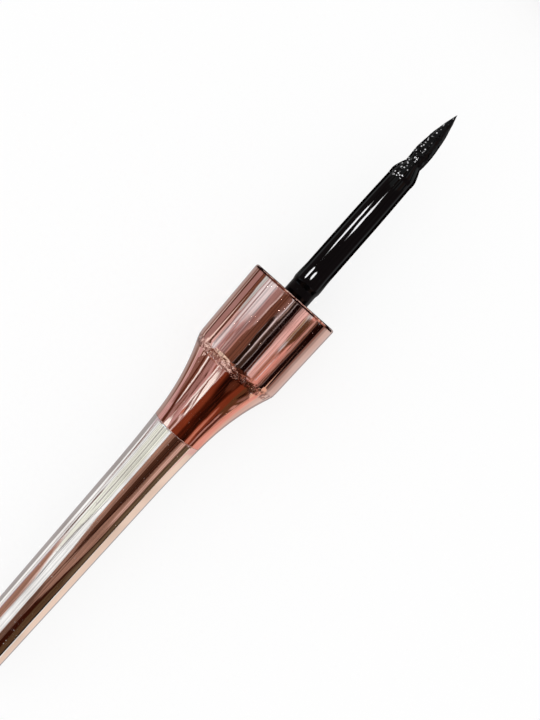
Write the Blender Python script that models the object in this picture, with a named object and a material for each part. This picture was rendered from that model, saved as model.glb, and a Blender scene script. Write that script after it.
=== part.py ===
"""Liquid eyeliner of the dip kind: its applicator cap, drawn out, in line with its bottle.

Units are metres and +Z is up. The whole lies on a table: every turned piece shares one level
axis along X, and the brush points to +X, at the open neck of the bottle. The origin is on the
table, under the middle of the whole. Places along the axis are counted from the rim of the
collar, and the cap closes by sliding to +X until that rim meets the shoulder of the bottle.

The walls are counted outwards from the rod, so each piece takes its size from the one inside it.
"""

import math

import bmesh
import bpy
from mathutils import Matrix, Vector

# Fits
CLEARANCE = 0.0003
THREAD_ROOM = 0.00055
WIPER_LIP_GAP = 0.00055
BALL_ROD_GAP = 0.0003

# Rod, which the brush sits in
ROD_NECK_RADIUS = 0.00231
ROD_BEAD_HEIGHT = 0.00014
ROD_BEAD_LENGTH = 0.0022
ROD_NECK_LENGTH = 0.0018
ROD_LENGTH = 0.02710
ROD_TAPER = 0.00007
ROD_END_TAPER = 0.00015
ROD_END_TAPER_LENGTH = 0.0068
ROD_LIP_HEIGHT = 0.00006
ROD_LIP_LENGTH = 0.0006
ROD_NOSE_LENGTH = 0.00215
ROD_NOSE_RADIUS = 0.00141
ROD_NOSE_WALL = 0.00031
ROD_SHANK_LENGTH = 0.0059
ROD_GROOVE_DEPTH = 0.00025
ROD_GROOVE_WIDTH = 0.0008

# Brush
TUFT_LENGTH = 0.0096
TUFT_BELLY_RADIUS = 0.00147
TUFT_MIDDLE_RADIUS = 0.00090
TUFT_SLICE_THICKNESS = 0.00035
TUFT_ROOT_LENGTH = 0.0042
TUFT_LEAN = 0.00012
STRAND_RADIUS = 0.000052
STRAND_COUNT = 300
STRAND_SIDES = 3

# Inner cap, which holds the rod and screws onto the neck
CAP_WALL = 0.0009
CAP_ROOF = 0.0010
CAP_RECESS = 0.0010
CAP_BOSS_WALL = 0.0007
CAP_SOCKET_END = 0.0008
CAP_CHAMFER = 0.0002
LINER_THICKNESS = 0.0008

# Collar and bell, one plated shell
COLLAR_WALL = 0.00075
COLLAR_TAPER = 0.0003
COLLAR_SHOULDER_LENGTH = 0.0009
COLLAR_LIP_ROUND = 0.00015
SHOULDER_ROUND = 0.0008
BELL_LENGTH = 0.0141
THROAT_RADIUS = 0.00457
SEAM_CHAMFER = 0.00008

# Handle
HANDLE_LENGTH = 0.0560
HANDLE_STRAIGHT_RADIUS = 0.00431
HANDLE_END_RADIUS = 0.00356
HANDLE_SWELL_LENGTH = 0.011
HANDLE_WALL = 0.00045
HANDLE_EDGE_ROUND = 0.0009
HANDLE_DOME_HEIGHT = 0.0003
CORE_WALL = 0.0006
CORE_FRONT_WALL = 0.0010
WEIGHT_LENGTH = 0.0220
WEIGHT_CHAMFER = 0.0003

# Wiper, in the neck of the vial
WIPER_FUNNEL_DEPTH = 0.0005
WIPER_WALL = 0.0005
WIPER_FLANGE_THICKNESS = 0.0006
WIPER_FLANGE_INSET = 0.0002
WIPER_TUBE_LENGTH = 0.0078
WIPER_FUNNEL_LENGTH = 0.0030
WIPER_LIP_THICKNESS = 0.00035

# Vial, sleeve and base
NECK_LENGTH = 0.0100
NECK_WALL = 0.0009
NECK_CHAMFER = 0.0002
NECK_RING_HEIGHT = 0.0002
NECK_RING_WIDTH = 0.0008
NECK_RING_OFFSET = 0.0012
VIAL_WALL = 0.0008
VIAL_SHOULDER_WALL = 0.0010
VIAL_BOTTOM_WALL = 0.0010
VIAL_BOTTOM_ROUND = 0.0015
TIP_CLEARANCE = 0.0025
SLEEVE_WALL = 0.0008
SLEEVE_EDGE_ROUND = 0.00015
BASE_FLANGE_THICKNESS = 0.0012
BASE_EDGE_CHAMFER = 0.0004
BASE_INSET = 0.0001
BASE_SKIRT_WALL = 0.0010
BASE_SKIRT_LENGTH = 0.0035
BASE_POST_RADIUS = 0.0030

# Lay-out: the drawn-out brush stays this far from the neck of the bottle
DRAWN_GAP = 0.0238

# Shares of a curve's rise at its four control points, and of a length along the brush
FLARE_SHARES = (0.0, 0.081, 0.37, 1.0)
BELLY_SHARE = 0.33
MIDDLE_SHARE = 0.66
TIP_CLOSING_SHARE = 0.22
EARLY_END_SHARE = 0.45
GROOVE_SHARES = (0.25, 0.60)
TAPER_MIDDLE_SHARES = (0.50, 0.33)
LIP_CREST_SHARE = 0.33
LIP_FOOT_SHARE = 0.50
NOSE_PLACE_SHARES = (0.33, 0.70)
NOSE_RISE_SHARES = (0.55, 0.18)

# Numbers of facets and of points on a curve
FINE_SEGMENTS = 48
SEGMENTS = 36
SMALL_SEGMENTS = 32
CURVE_STEPS = 11
INNER_CURVE_STEPS = 5
ROUND_STEPS = 3
BEAD_STEPS = 6
BALL_SUBDIVISIONS = 3
GOLDEN_ANGLE = math.pi * (3.0 - math.sqrt(5.0))
SHARP_ANGLE = math.radians(28.0)
MERGE_DISTANCE = 0.000001

# Radii, from the rod outwards
BEAD_RADIUS = ROD_NECK_RADIUS + ROD_BEAD_HEIGHT
WIPER_LIP_RADIUS = BEAD_RADIUS + WIPER_LIP_GAP
WIPER_BORE = WIPER_LIP_RADIUS + WIPER_FUNNEL_DEPTH
WIPER_RADIUS = WIPER_BORE + WIPER_WALL
NECK_BORE = WIPER_RADIUS + CLEARANCE
NECK_RADIUS = NECK_BORE + NECK_WALL
CAP_BORE = NECK_RADIUS + THREAD_ROOM
CAP_RADIUS = CAP_BORE + CAP_WALL
COLLAR_BACK_RADIUS = CAP_RADIUS + CLEARANCE + COLLAR_WALL
COLLAR_RADIUS = COLLAR_BACK_RADIUS + COLLAR_TAPER
SOCKET_RADIUS = ROD_NECK_RADIUS + CLEARANCE
BOSS_RADIUS = SOCKET_RADIUS + CAP_BOSS_WALL
SLEEVE_RADIUS = COLLAR_RADIUS
SLEEVE_BORE = SLEEVE_RADIUS - SLEEVE_WALL
VIAL_RADIUS = SLEEVE_BORE - CLEARANCE
VIAL_BORE = VIAL_RADIUS - VIAL_WALL
TUFT_ROOT_RADIUS = ROD_NOSE_RADIUS - ROD_NOSE_WALL - CLEARANCE
CORE_THROAT_RADIUS = THROAT_RADIUS - COLLAR_WALL - CLEARANCE
CORE_BORE = HANDLE_END_RADIUS - HANDLE_WALL - CLEARANCE - CORE_WALL
BALL_LOWEST = VIAL_BORE * math.cos(math.pi / SEGMENTS) - CLEARANCE
BALL_RADIUS = (BALL_LOWEST - BEAD_RADIUS - BALL_ROD_GAP) / 2.0
BALL_DROP = BALL_LOWEST - BALL_RADIUS

# Places along the axis of the pieces of the cap, back from the rim of the collar
CLOSED_FLANGE_AT = -(NECK_LENGTH + WIPER_FLANGE_THICKNESS)
LINER_FRONT_AT = CLOSED_FLANGE_AT - CLEARANCE
LINER_BACK_AT = LINER_FRONT_AT - LINER_THICKNESS
ROOF_FRONT_AT = LINER_BACK_AT - CLEARANCE
ROOF_BACK_AT = ROOF_FRONT_AT - CAP_ROOF
SHOULDER_AT = ROOF_BACK_AT - COLLAR_SHOULDER_LENGTH
THROAT_AT = SHOULDER_AT - BELL_LENGTH
ROD_BACK_AT = ROOF_FRONT_AT - ROD_SHANK_LENGTH
SOCKET_END_AT = ROD_BACK_AT - CLEARANCE
BOSS_BACK_AT = SOCKET_END_AT - CAP_SOCKET_END
HANDLE_FRONT_AT = THROAT_AT - CLEARANCE
HANDLE_BACK_AT = THROAT_AT - HANDLE_LENGTH
CORE_FRONT_AT = BOSS_BACK_AT - CLEARANCE
CORE_BACK_AT = HANDLE_BACK_AT + HANDLE_DOME_HEIGHT + HANDLE_WALL + HANDLE_EDGE_ROUND
WEIGHT_FRONT_AT = CORE_FRONT_AT - CORE_FRONT_WALL - CLEARANCE
TUFT_SLICE_AT = ROD_LENGTH + CLEARANCE
TIP_AT = TUFT_SLICE_AT + TUFT_SLICE_THICKNESS + TUFT_LENGTH

# Places along the axis of the pieces of the bottle
MOUTH_AT = TIP_AT + DRAWN_GAP
BOTTLE_SHOULDER_AT = MOUTH_AT + NECK_LENGTH
CLOSING_TRAVEL = BOTTLE_SHOULDER_AT - CLEARANCE
VIAL_SHOULDER_AT = BOTTLE_SHOULDER_AT + SLEEVE_WALL + CLEARANCE
VIAL_FLOOR_AT = TIP_AT + CLOSING_TRAVEL + TIP_CLEARANCE
VIAL_BOTTOM_AT = VIAL_FLOOR_AT + VIAL_BOTTOM_WALL
BASE_POST_AT = VIAL_BOTTOM_AT + CLEARANCE
BASE_FLANGE_AT = BASE_POST_AT + BASE_SKIRT_LENGTH
BASE_AT = BASE_FLANGE_AT + BASE_FLANGE_THICKNESS
SLEEVE_END_AT = BASE_FLANGE_AT - CLEARANCE
BALL_AT = VIAL_FLOOR_AT - CLEARANCE - BALL_RADIUS

# The whole lies with its middle over the origin and its lowest facets on the table
MIDDLE_AT = (HANDLE_BACK_AT + BASE_AT) / 2.0
AXIS_HEIGHT = COLLAR_RADIUS * math.cos(math.pi / FINE_SEGMENTS)


def clear_scene():
    """Removes whatever the file holds, so that the script can be run again."""
    for obj in list(bpy.data.objects):
        bpy.data.objects.remove(obj, do_unlink=True)


def plain_material(name, colour, metallic, roughness):
    """A Principled material of one colour."""
    material = bpy.data.materials.new(name)
    material.use_nodes = True
    shader = material.node_tree.nodes["Principled BSDF"]
    shader.inputs["Base Color"].default_value = (*colour, 1.0)
    shader.inputs["Metallic"].default_value = metallic
    shader.inputs["Roughness"].default_value = roughness
    material.diffuse_color = (*colour, 1.0)
    return material


def body_empty(name, place):
    """An empty on the common axis whose local Z runs along world X."""
    empty = bpy.data.objects.new(name, None)
    bpy.context.scene.collection.objects.link(empty)
    empty.location = (place - MIDDLE_AT, 0.0, AXIS_HEIGHT)
    empty.rotation_euler = (0.0, math.pi / 2.0, 0.0)
    return empty


def add_object(name, mesh, material, parent, turn=0.0):
    """Puts a mesh in the scene, under its body's empty."""
    obj = bpy.data.objects.new(name, mesh)
    bpy.context.scene.collection.objects.link(obj)
    mesh.materials.append(material)
    obj.parent = parent
    obj.rotation_euler = (0.0, 0.0, turn)
    return obj


def turned_mesh(name, outline, segments, start):
    """Turns an outline of (place along the axis, radius) points all the way round local Z."""
    form = bmesh.new()
    verts = [form.verts.new((radius, 0.0, place - start)) for place, radius in outline]
    edges = [form.edges.new(pair) for pair in zip(verts, verts[1:])]
    on_axis = outline[0][1] == 0.0 and outline[-1][1] == 0.0
    if not on_axis:
        edges.append(form.edges.new((verts[-1], verts[0])))
    bmesh.ops.spin(
        form,
        geom=verts + edges,
        cent=(0.0, 0.0, 0.0),
        axis=(0.0, 0.0, 1.0),
        dvec=(0.0, 0.0, 0.0),
        angle=math.tau,
        steps=segments,
        use_merge=True,
    )
    bmesh.ops.remove_doubles(form, verts=form.verts, dist=MERGE_DISTANCE)
    bmesh.ops.recalc_face_normals(form, faces=form.faces)
    mesh = bpy.data.meshes.new(name)
    form.to_mesh(mesh)
    form.free()
    mesh.shade_smooth()
    mesh.set_sharp_from_angle(angle=SHARP_ANGLE)
    return mesh


def turned(name, outline, segments, material, body):
    """A turned piece, with a flat facet at its lowest side so that it lies still."""
    empty, start = body
    mesh = turned_mesh(name, outline, segments, start)
    return add_object(name, mesh, material, empty, turn=math.pi / segments)


def rounded(corner, toward_first, toward_last, size, steps=ROUND_STEPS):
    """The points of a corner that is eased by size along both of its sides."""
    middle = Vector(corner)
    first = middle + size * (Vector(toward_first) - middle).normalized()
    last = middle + size * (Vector(toward_last) - middle).normalized()
    points = []
    for step in range(steps + 1):
        t = step / steps
        point = first * (1.0 - t) ** 2 + middle * (2.0 * t * (1.0 - t)) + last * t**2
        points.append((point.x, point.y))
    return points


def flare_radius(share, low, high):
    """The bell's radius at a share of its length from the throat, a cubic curve."""
    a, b, c, d = FLARE_SHARES
    rest = 1.0 - share
    rise = a * rest**3 + 3.0 * b * rest**2 * share + 3.0 * c * rest * share**2 + d * share**3
    return low + (high - low) * rise


def flare(steps, wall, first_share, last_share):
    """Points along the bell from one share of its length to another, wall inside its skin."""
    points = []
    for step in range(steps + 1):
        share = first_share + (last_share - first_share) * step / steps
        place = THROAT_AT + share * BELL_LENGTH
        points.append((place, flare_radius(share, THROAT_RADIUS, COLLAR_BACK_RADIUS) - wall))
    return points


def handle_radius(place):
    """The handle's outer radius: a straight taper that swells to meet the throat."""
    share = (THROAT_AT - place) / HANDLE_LENGTH
    straight = HANDLE_STRAIGHT_RADIUS + (HANDLE_END_RADIUS - HANDLE_STRAIGHT_RADIUS) * share
    swell_share = max(0.0, 1.0 - (THROAT_AT - place) / HANDLE_SWELL_LENGTH)
    return straight + (THROAT_RADIUS - HANDLE_STRAIGHT_RADIUS) * swell_share**2


def handle_side(first, last, wall, steps):
    """Points along the handle between two places, with most of them in its swell."""
    places = [first + (last - first) * (step / steps) ** 2 for step in range(steps + 1)]
    return [(place, handle_radius(place) - wall) for place in places]


def make_rod(material, body):
    """The stem: a shank gripped by the inner cap, a bead, a slight taper, a lip and a nose."""
    bead_start = ROD_NECK_LENGTH
    stem_start = bead_start + ROD_BEAD_LENGTH
    stem_end = ROD_LENGTH - ROD_NOSE_LENGTH - ROD_LIP_LENGTH
    slow_end = stem_end - ROD_END_TAPER_LENGTH
    slow_radius = ROD_NECK_RADIUS - ROD_TAPER
    stem_radius = slow_radius - ROD_END_TAPER
    lip_radius = stem_radius + ROD_LIP_HEIGHT
    nose_start = ROD_LENGTH - ROD_NOSE_LENGTH
    bore = ROD_NOSE_RADIUS - ROD_NOSE_WALL
    bore_end = ROD_LENGTH - TUFT_ROOT_LENGTH - CLEARANCE
    outline = [(ROD_BACK_AT, 0.0), (ROD_BACK_AT, ROD_NECK_RADIUS)]
    for share in GROOVE_SHARES:
        groove = ROD_BACK_AT + share * ROD_SHANK_LENGTH
        outline += [
            (groove, ROD_NECK_RADIUS),
            (groove, ROD_NECK_RADIUS - ROD_GROOVE_DEPTH),
            (groove + ROD_GROOVE_WIDTH, ROD_NECK_RADIUS),
        ]
    for step in range(BEAD_STEPS + 1):
        t = step / BEAD_STEPS
        rise = math.sin(math.pi * t) ** 2
        outline.append((bead_start + t * ROD_BEAD_LENGTH, ROD_NECK_RADIUS + rise * ROD_BEAD_HEIGHT))
    place_share, fall_share = TAPER_MIDDLE_SHARES
    outline += [
        (
            stem_start + place_share * (slow_end - stem_start),
            ROD_NECK_RADIUS - fall_share * ROD_TAPER,
        ),
        (slow_end, slow_radius),
        (
            slow_end + place_share * (stem_end - slow_end),
            slow_radius - fall_share * ROD_END_TAPER,
        ),
        (stem_end, stem_radius),
        (stem_end + LIP_CREST_SHARE * ROD_LIP_LENGTH, lip_radius),
        (nose_start, lip_radius - LIP_FOOT_SHARE * ROD_LIP_HEIGHT),
    ]
    for along_share, rise_share in zip(NOSE_PLACE_SHARES, NOSE_RISE_SHARES):
        outline.append(
            (
                nose_start + along_share * ROD_NOSE_LENGTH,
                ROD_NOSE_RADIUS + rise_share * (lip_radius - ROD_NOSE_RADIUS),
            )
        )
    outline += [
        (ROD_LENGTH, ROD_NOSE_RADIUS),
        (ROD_LENGTH, bore),
        (bore_end, bore),
        (bore_end, 0.0),
    ]
    return turned("rod", outline, SMALL_SEGMENTS, material, body)


def strand_mesh(start):
    """All the bristles of the brush, drawn together by the same rule so that none cross.

    Each ring of every bristle is the same sunflower pattern at another scale: it opens to the
    belly and closes towards the tip. The outer bristles end first, which points the brush.
    """
    pattern_radius = ROD_NOSE_RADIUS - STRAND_RADIUS
    strand_start = TUFT_SLICE_AT + TUFT_SLICE_THICKNESS / 2.0
    tuft_start = TUFT_SLICE_AT + TUFT_SLICE_THICKNESS
    belly_scale = (TUFT_BELLY_RADIUS - STRAND_RADIUS) / pattern_radius
    middle_scale = (TUFT_MIDDLE_RADIUS - STRAND_RADIUS) / pattern_radius
    rings = [
        (strand_start, 1.0, 0.0),
        (tuft_start + BELLY_SHARE * TUFT_LENGTH, belly_scale, BELLY_SHARE),
        (tuft_start + MIDDLE_SHARE * TUFT_LENGTH, middle_scale, MIDDLE_SHARE),
    ]
    form = bmesh.new()
    for index in range(STRAND_COUNT):
        reach = math.sqrt((index + 0.5) / STRAND_COUNT)
        angle = index * GOLDEN_ANGLE
        across = Vector((math.cos(angle), math.sin(angle))) * reach * pattern_radius
        end_share = 1.0 - EARLY_END_SHARE * reach * (1.0 - MIDDLE_SHARE)
        closing = (end_share - MIDDLE_SHARE) / (1.0 - MIDDLE_SHARE)
        end_scale = middle_scale + (TIP_CLOSING_SHARE - 1.0) * middle_scale * closing
        end_place = tuft_start + end_share * TUFT_LENGTH
        loops = []
        for place, scale, share in rings:
            centre = across * scale
            radius = STRAND_RADIUS * min(1.0, scale)
            loop = []
            for side in range(STRAND_SIDES):
                turn = angle + side * math.tau / STRAND_SIDES
                x = centre.x - TUFT_LEAN * share**2 + radius * math.cos(turn)
                y = centre.y + radius * math.sin(turn)
                loop.append(form.verts.new((x, y, place - start)))
            loops.append(loop)
        end = across * end_scale
        tip = form.verts.new((end.x - TUFT_LEAN * end_share**2, end.y, end_place - start))
        form.faces.new(list(reversed(loops[0])))
        for side in range(STRAND_SIDES):
            after = (side + 1) % STRAND_SIDES
            for low, high in zip(loops, loops[1:]):
                form.faces.new((low[side], low[after], high[after], high[side]))
            form.faces.new((loops[-1][side], loops[-1][after], tip))
    bmesh.ops.recalc_face_normals(form, faces=form.faces)
    mesh = bpy.data.meshes.new("bristles")
    form.to_mesh(mesh)
    form.free()
    return mesh


def make_brush(material, body):
    """The brush: bristles joined to the bound slice that closes their root in the rod."""
    empty, start = body
    outline = [
        (ROD_LENGTH - TUFT_ROOT_LENGTH, 0.0),
        (ROD_LENGTH - TUFT_ROOT_LENGTH, TUFT_ROOT_RADIUS),
        (TUFT_SLICE_AT, TUFT_ROOT_RADIUS),
        (TUFT_SLICE_AT, ROD_NOSE_RADIUS),
        (TUFT_SLICE_AT + TUFT_SLICE_THICKNESS, ROD_NOSE_RADIUS),
        (TUFT_SLICE_AT + TUFT_SLICE_THICKNESS, 0.0),
    ]
    bristles = add_object("bristles", strand_mesh(start), material, empty)
    bristles.hide_render = True
    bristles.display_type = "WIRE"
    tuft = turned("brush_tuft", outline, SMALL_SEGMENTS, material, body)
    union = tuft.modifiers.new("join_bristles", "BOOLEAN")
    union.operation = "UNION"
    union.solver = "EXACT"
    union.object = bristles
    return tuft


def make_inner_cap(material, body):
    """The screw cap inside the collar, with the socket that grips the rod behind its roof."""
    front = -CAP_RECESS
    outline = [
        (BOSS_BACK_AT, 0.0),
        (BOSS_BACK_AT, BOSS_RADIUS - CAP_CHAMFER),
        (BOSS_BACK_AT + CAP_CHAMFER, BOSS_RADIUS),
        (ROOF_BACK_AT, BOSS_RADIUS),
        (ROOF_BACK_AT, CAP_RADIUS - CAP_CHAMFER),
        (ROOF_BACK_AT + CAP_CHAMFER, CAP_RADIUS),
        (front - CAP_CHAMFER, CAP_RADIUS),
        (front, CAP_RADIUS - CAP_CHAMFER),
        (front, CAP_BORE + CAP_CHAMFER),
        (front - CAP_CHAMFER, CAP_BORE),
        (ROOF_FRONT_AT, CAP_BORE),
        (ROOF_FRONT_AT, SOCKET_RADIUS),
        (SOCKET_END_AT, SOCKET_RADIUS),
        (SOCKET_END_AT, 0.0),
    ]
    return turned("inner_cap", outline, SEGMENTS, material, body)


def make_liner(material, body):
    """The soft washer that seals the neck against the roof of the inner cap."""
    outer = CAP_BORE - CLEARANCE
    outline = [
        (LINER_FRONT_AT, SOCKET_RADIUS),
        (LINER_FRONT_AT, outer),
        (LINER_BACK_AT, outer),
        (LINER_BACK_AT, SOCKET_RADIUS),
    ]
    return turned("cap_liner", outline, SMALL_SEGMENTS, material, body)


def make_collar(material, body):
    """The plated shell: a mouth with a fine lip, a near straight collar, and the bell."""
    shoulder = (SHOULDER_AT, COLLAR_BACK_RADIUS)
    bell_end_share = 1.0 - SHOULDER_ROUND / BELL_LENGTH
    bell_end = flare(1, 0.0, bell_end_share, bell_end_share)[0]
    rim = (0.0, COLLAR_RADIUS)
    inner_rim = (0.0, COLLAR_RADIUS - COLLAR_WALL)
    inner_shoulder_radius = COLLAR_BACK_RADIUS - COLLAR_WALL
    outline = rounded(rim, inner_rim, shoulder, COLLAR_LIP_ROUND)
    outline += rounded(shoulder, rim, bell_end, SHOULDER_ROUND)
    outline += flare(CURVE_STEPS, 0.0, bell_end_share, SEAM_CHAMFER / BELL_LENGTH)[1:]
    outline.append((THROAT_AT, THROAT_RADIUS - SEAM_CHAMFER))
    outline += flare(INNER_CURVE_STEPS, COLLAR_WALL, 0.0, bell_end_share)
    outline.append((SHOULDER_AT, inner_shoulder_radius))
    outline.append((-COLLAR_LIP_ROUND, COLLAR_RADIUS - COLLAR_WALL))
    outline.append((0.0, COLLAR_RADIUS - COLLAR_WALL + COLLAR_LIP_ROUND))
    return turned("bell_collar", outline, FINE_SEGMENTS, material, body)


def make_handle(material, body):
    """The drawn shell of the handle, open at the bell and closed by a low dome."""
    side_end = HANDLE_BACK_AT + HANDLE_DOME_HEIGHT
    edge = (side_end, handle_radius(side_end))
    crown = (HANDLE_BACK_AT, 0.0)
    along = (HANDLE_FRONT_AT, handle_radius(side_end))
    inner_end = side_end + HANDLE_WALL
    outer = handle_side(HANDLE_FRONT_AT - SEAM_CHAMFER, side_end + HANDLE_EDGE_ROUND, 0.0, CURVE_STEPS // 2)
    inner = handle_side(HANDLE_FRONT_AT, inner_end + HANDLE_EDGE_ROUND, HANDLE_WALL, INNER_CURVE_STEPS // 2)
    outline = [crown]
    outline += reversed(rounded(edge, along, crown, HANDLE_EDGE_ROUND))
    outline += reversed(outer[:-1])
    outline.append((HANDLE_FRONT_AT, handle_radius(HANDLE_FRONT_AT) - SEAM_CHAMFER))
    outline += inner
    outline.append((inner_end, handle_radius(side_end) - HANDLE_WALL - HANDLE_EDGE_ROUND))
    outline.append((inner_end, 0.0))
    return turned("handle_tube", outline, FINE_SEGMENTS, material, body)


def make_core(material, body):
    """The plastic liner of the handle, whose spigot passes through the throat into the bell."""
    outer = handle_side(HANDLE_FRONT_AT, CORE_BACK_AT, HANDLE_WALL + CLEARANCE, INNER_CURVE_STEPS // 2)
    bore_front = CORE_FRONT_AT - CORE_FRONT_WALL
    outline = [
        (CORE_FRONT_AT, 0.0),
        (CORE_FRONT_AT, CORE_THROAT_RADIUS - CAP_CHAMFER),
        (CORE_FRONT_AT - CAP_CHAMFER, CORE_THROAT_RADIUS),
        (HANDLE_FRONT_AT, CORE_THROAT_RADIUS),
        *outer,
        (CORE_BACK_AT, CORE_BORE),
        (bore_front, CORE_BORE),
        (bore_front, 0.0),
    ]
    return turned("handle_core", outline, SMALL_SEGMENTS, material, body)


def make_weight(material, body):
    """The metal slug that gives the cap its weight."""
    radius = CORE_BORE - CLEARANCE
    back = WEIGHT_FRONT_AT - WEIGHT_LENGTH
    outline = [
        (WEIGHT_FRONT_AT, 0.0),
        (WEIGHT_FRONT_AT, radius - WEIGHT_CHAMFER),
        (WEIGHT_FRONT_AT - WEIGHT_CHAMFER, radius),
        (back + WEIGHT_CHAMFER, radius),
        (back, radius - WEIGHT_CHAMFER),
        (back, 0.0),
    ]
    return turned("handle_weight", outline, SMALL_SEGMENTS, material, body)


def make_wiper(material, body):
    """The wiper: a flange on the mouth, a tube in the neck and a funnel that ends in a lip."""
    flange_front = MOUTH_AT - CLEARANCE - WIPER_FLANGE_THICKNESS
    flange_back = MOUTH_AT - CLEARANCE
    tube_end = MOUTH_AT + WIPER_TUBE_LENGTH
    lip_at = tube_end + WIPER_FUNNEL_LENGTH
    lip_outer = WIPER_LIP_RADIUS + WIPER_LIP_THICKNESS
    outline = [
        (flange_front, WIPER_BORE),
        (flange_front, NECK_RADIUS - WIPER_FLANGE_INSET),
        (flange_back, NECK_RADIUS - WIPER_FLANGE_INSET),
        (flange_back, WIPER_RADIUS),
        (tube_end, WIPER_RADIUS),
        (lip_at, lip_outer),
        (lip_at, WIPER_LIP_RADIUS),
        (tube_end, WIPER_BORE),
    ]
    return turned("wiper", outline, SMALL_SEGMENTS, material, body)


def make_vial(material, body):
    """The inner bottle, one moulding: a neck, a shoulder and a round-bottomed body."""
    ring_front = BOTTLE_SHOULDER_AT - NECK_RING_OFFSET - NECK_RING_WIDTH
    ring_back = BOTTLE_SHOULDER_AT - NECK_RING_OFFSET
    inner_shoulder = VIAL_SHOULDER_AT + VIAL_SHOULDER_WALL
    outer_corner = (VIAL_BOTTOM_AT, VIAL_RADIUS)
    inner_corner = (VIAL_FLOOR_AT, VIAL_BORE)
    outline = [
        (MOUTH_AT, NECK_BORE),
        (MOUTH_AT, NECK_RADIUS - NECK_CHAMFER),
        (MOUTH_AT + NECK_CHAMFER, NECK_RADIUS),
        (ring_front, NECK_RADIUS),
        ((ring_front + ring_back) / 2.0, NECK_RADIUS + NECK_RING_HEIGHT),
        (ring_back, NECK_RADIUS),
        (VIAL_SHOULDER_AT, NECK_RADIUS),
        (VIAL_SHOULDER_AT, VIAL_RADIUS - NECK_CHAMFER),
        (VIAL_SHOULDER_AT + NECK_CHAMFER, VIAL_RADIUS),
    ]
    outline += rounded(outer_corner, (VIAL_SHOULDER_AT, VIAL_RADIUS), (VIAL_BOTTOM_AT, 0.0), VIAL_BOTTOM_ROUND)
    outline.append((VIAL_BOTTOM_AT, 0.0))
    outline.append((VIAL_FLOOR_AT, 0.0))
    outline += rounded(inner_corner, (VIAL_FLOOR_AT, 0.0), (VIAL_SHOULDER_AT, VIAL_BORE), VIAL_BOTTOM_ROUND)
    outline += [(inner_shoulder, VIAL_BORE), (inner_shoulder, NECK_BORE)]
    return turned("vial", outline, SEGMENTS, material, body)


def make_sleeve(material, body):
    """The outer shell of the bottle, with a shoulder that surrounds the neck."""
    hole = NECK_RADIUS + NECK_RING_HEIGHT + CLEARANCE
    shoulder = (BOTTLE_SHOULDER_AT, SLEEVE_RADIUS)
    outline = [
        (BOTTLE_SHOULDER_AT, hole),
        *rounded(shoulder, (BOTTLE_SHOULDER_AT, hole), (SLEEVE_END_AT, SLEEVE_RADIUS), SLEEVE_EDGE_ROUND),
        (SLEEVE_END_AT, SLEEVE_RADIUS),
        (SLEEVE_END_AT, SLEEVE_BORE),
        (BOTTLE_SHOULDER_AT + SLEEVE_WALL, SLEEVE_BORE),
        (BOTTLE_SHOULDER_AT + SLEEVE_WALL, hole),
    ]
    return turned("bottle_sleeve", outline, FINE_SEGMENTS, material, body)


def make_base(material, body):
    """The base plug: a flat flange, a skirt inside the sleeve and a post under the vial."""
    flange_radius = SLEEVE_RADIUS - BASE_INSET
    skirt_radius = SLEEVE_BORE - CLEARANCE
    skirt_bore = skirt_radius - BASE_SKIRT_WALL
    outline = [
        (BASE_AT, 0.0),
        (BASE_AT, flange_radius - BASE_EDGE_CHAMFER),
        (BASE_AT - BASE_EDGE_CHAMFER, flange_radius),
        (BASE_FLANGE_AT, flange_radius),
        (BASE_FLANGE_AT, skirt_radius),
        (BASE_POST_AT, skirt_radius),
        (BASE_POST_AT, skirt_bore),
        (BASE_FLANGE_AT, skirt_bore),
        (BASE_FLANGE_AT, BASE_POST_RADIUS),
        (BASE_POST_AT, BASE_POST_RADIUS),
        (BASE_POST_AT, 0.0),
    ]
    return turned("base_plug", outline, FINE_SEGMENTS, material, body)


def make_ball(material, parent):
    """The loose ball that stirs the liner when the bottle is shaken."""
    form = bmesh.new()
    bmesh.ops.create_icosphere(form, subdivisions=BALL_SUBDIVISIONS, radius=BALL_RADIUS)
    mesh = bpy.data.meshes.new("mixing_ball")
    form.to_mesh(mesh)
    form.free()
    mesh.shade_smooth()
    return add_object("mixing_ball", mesh, material, parent)


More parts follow.
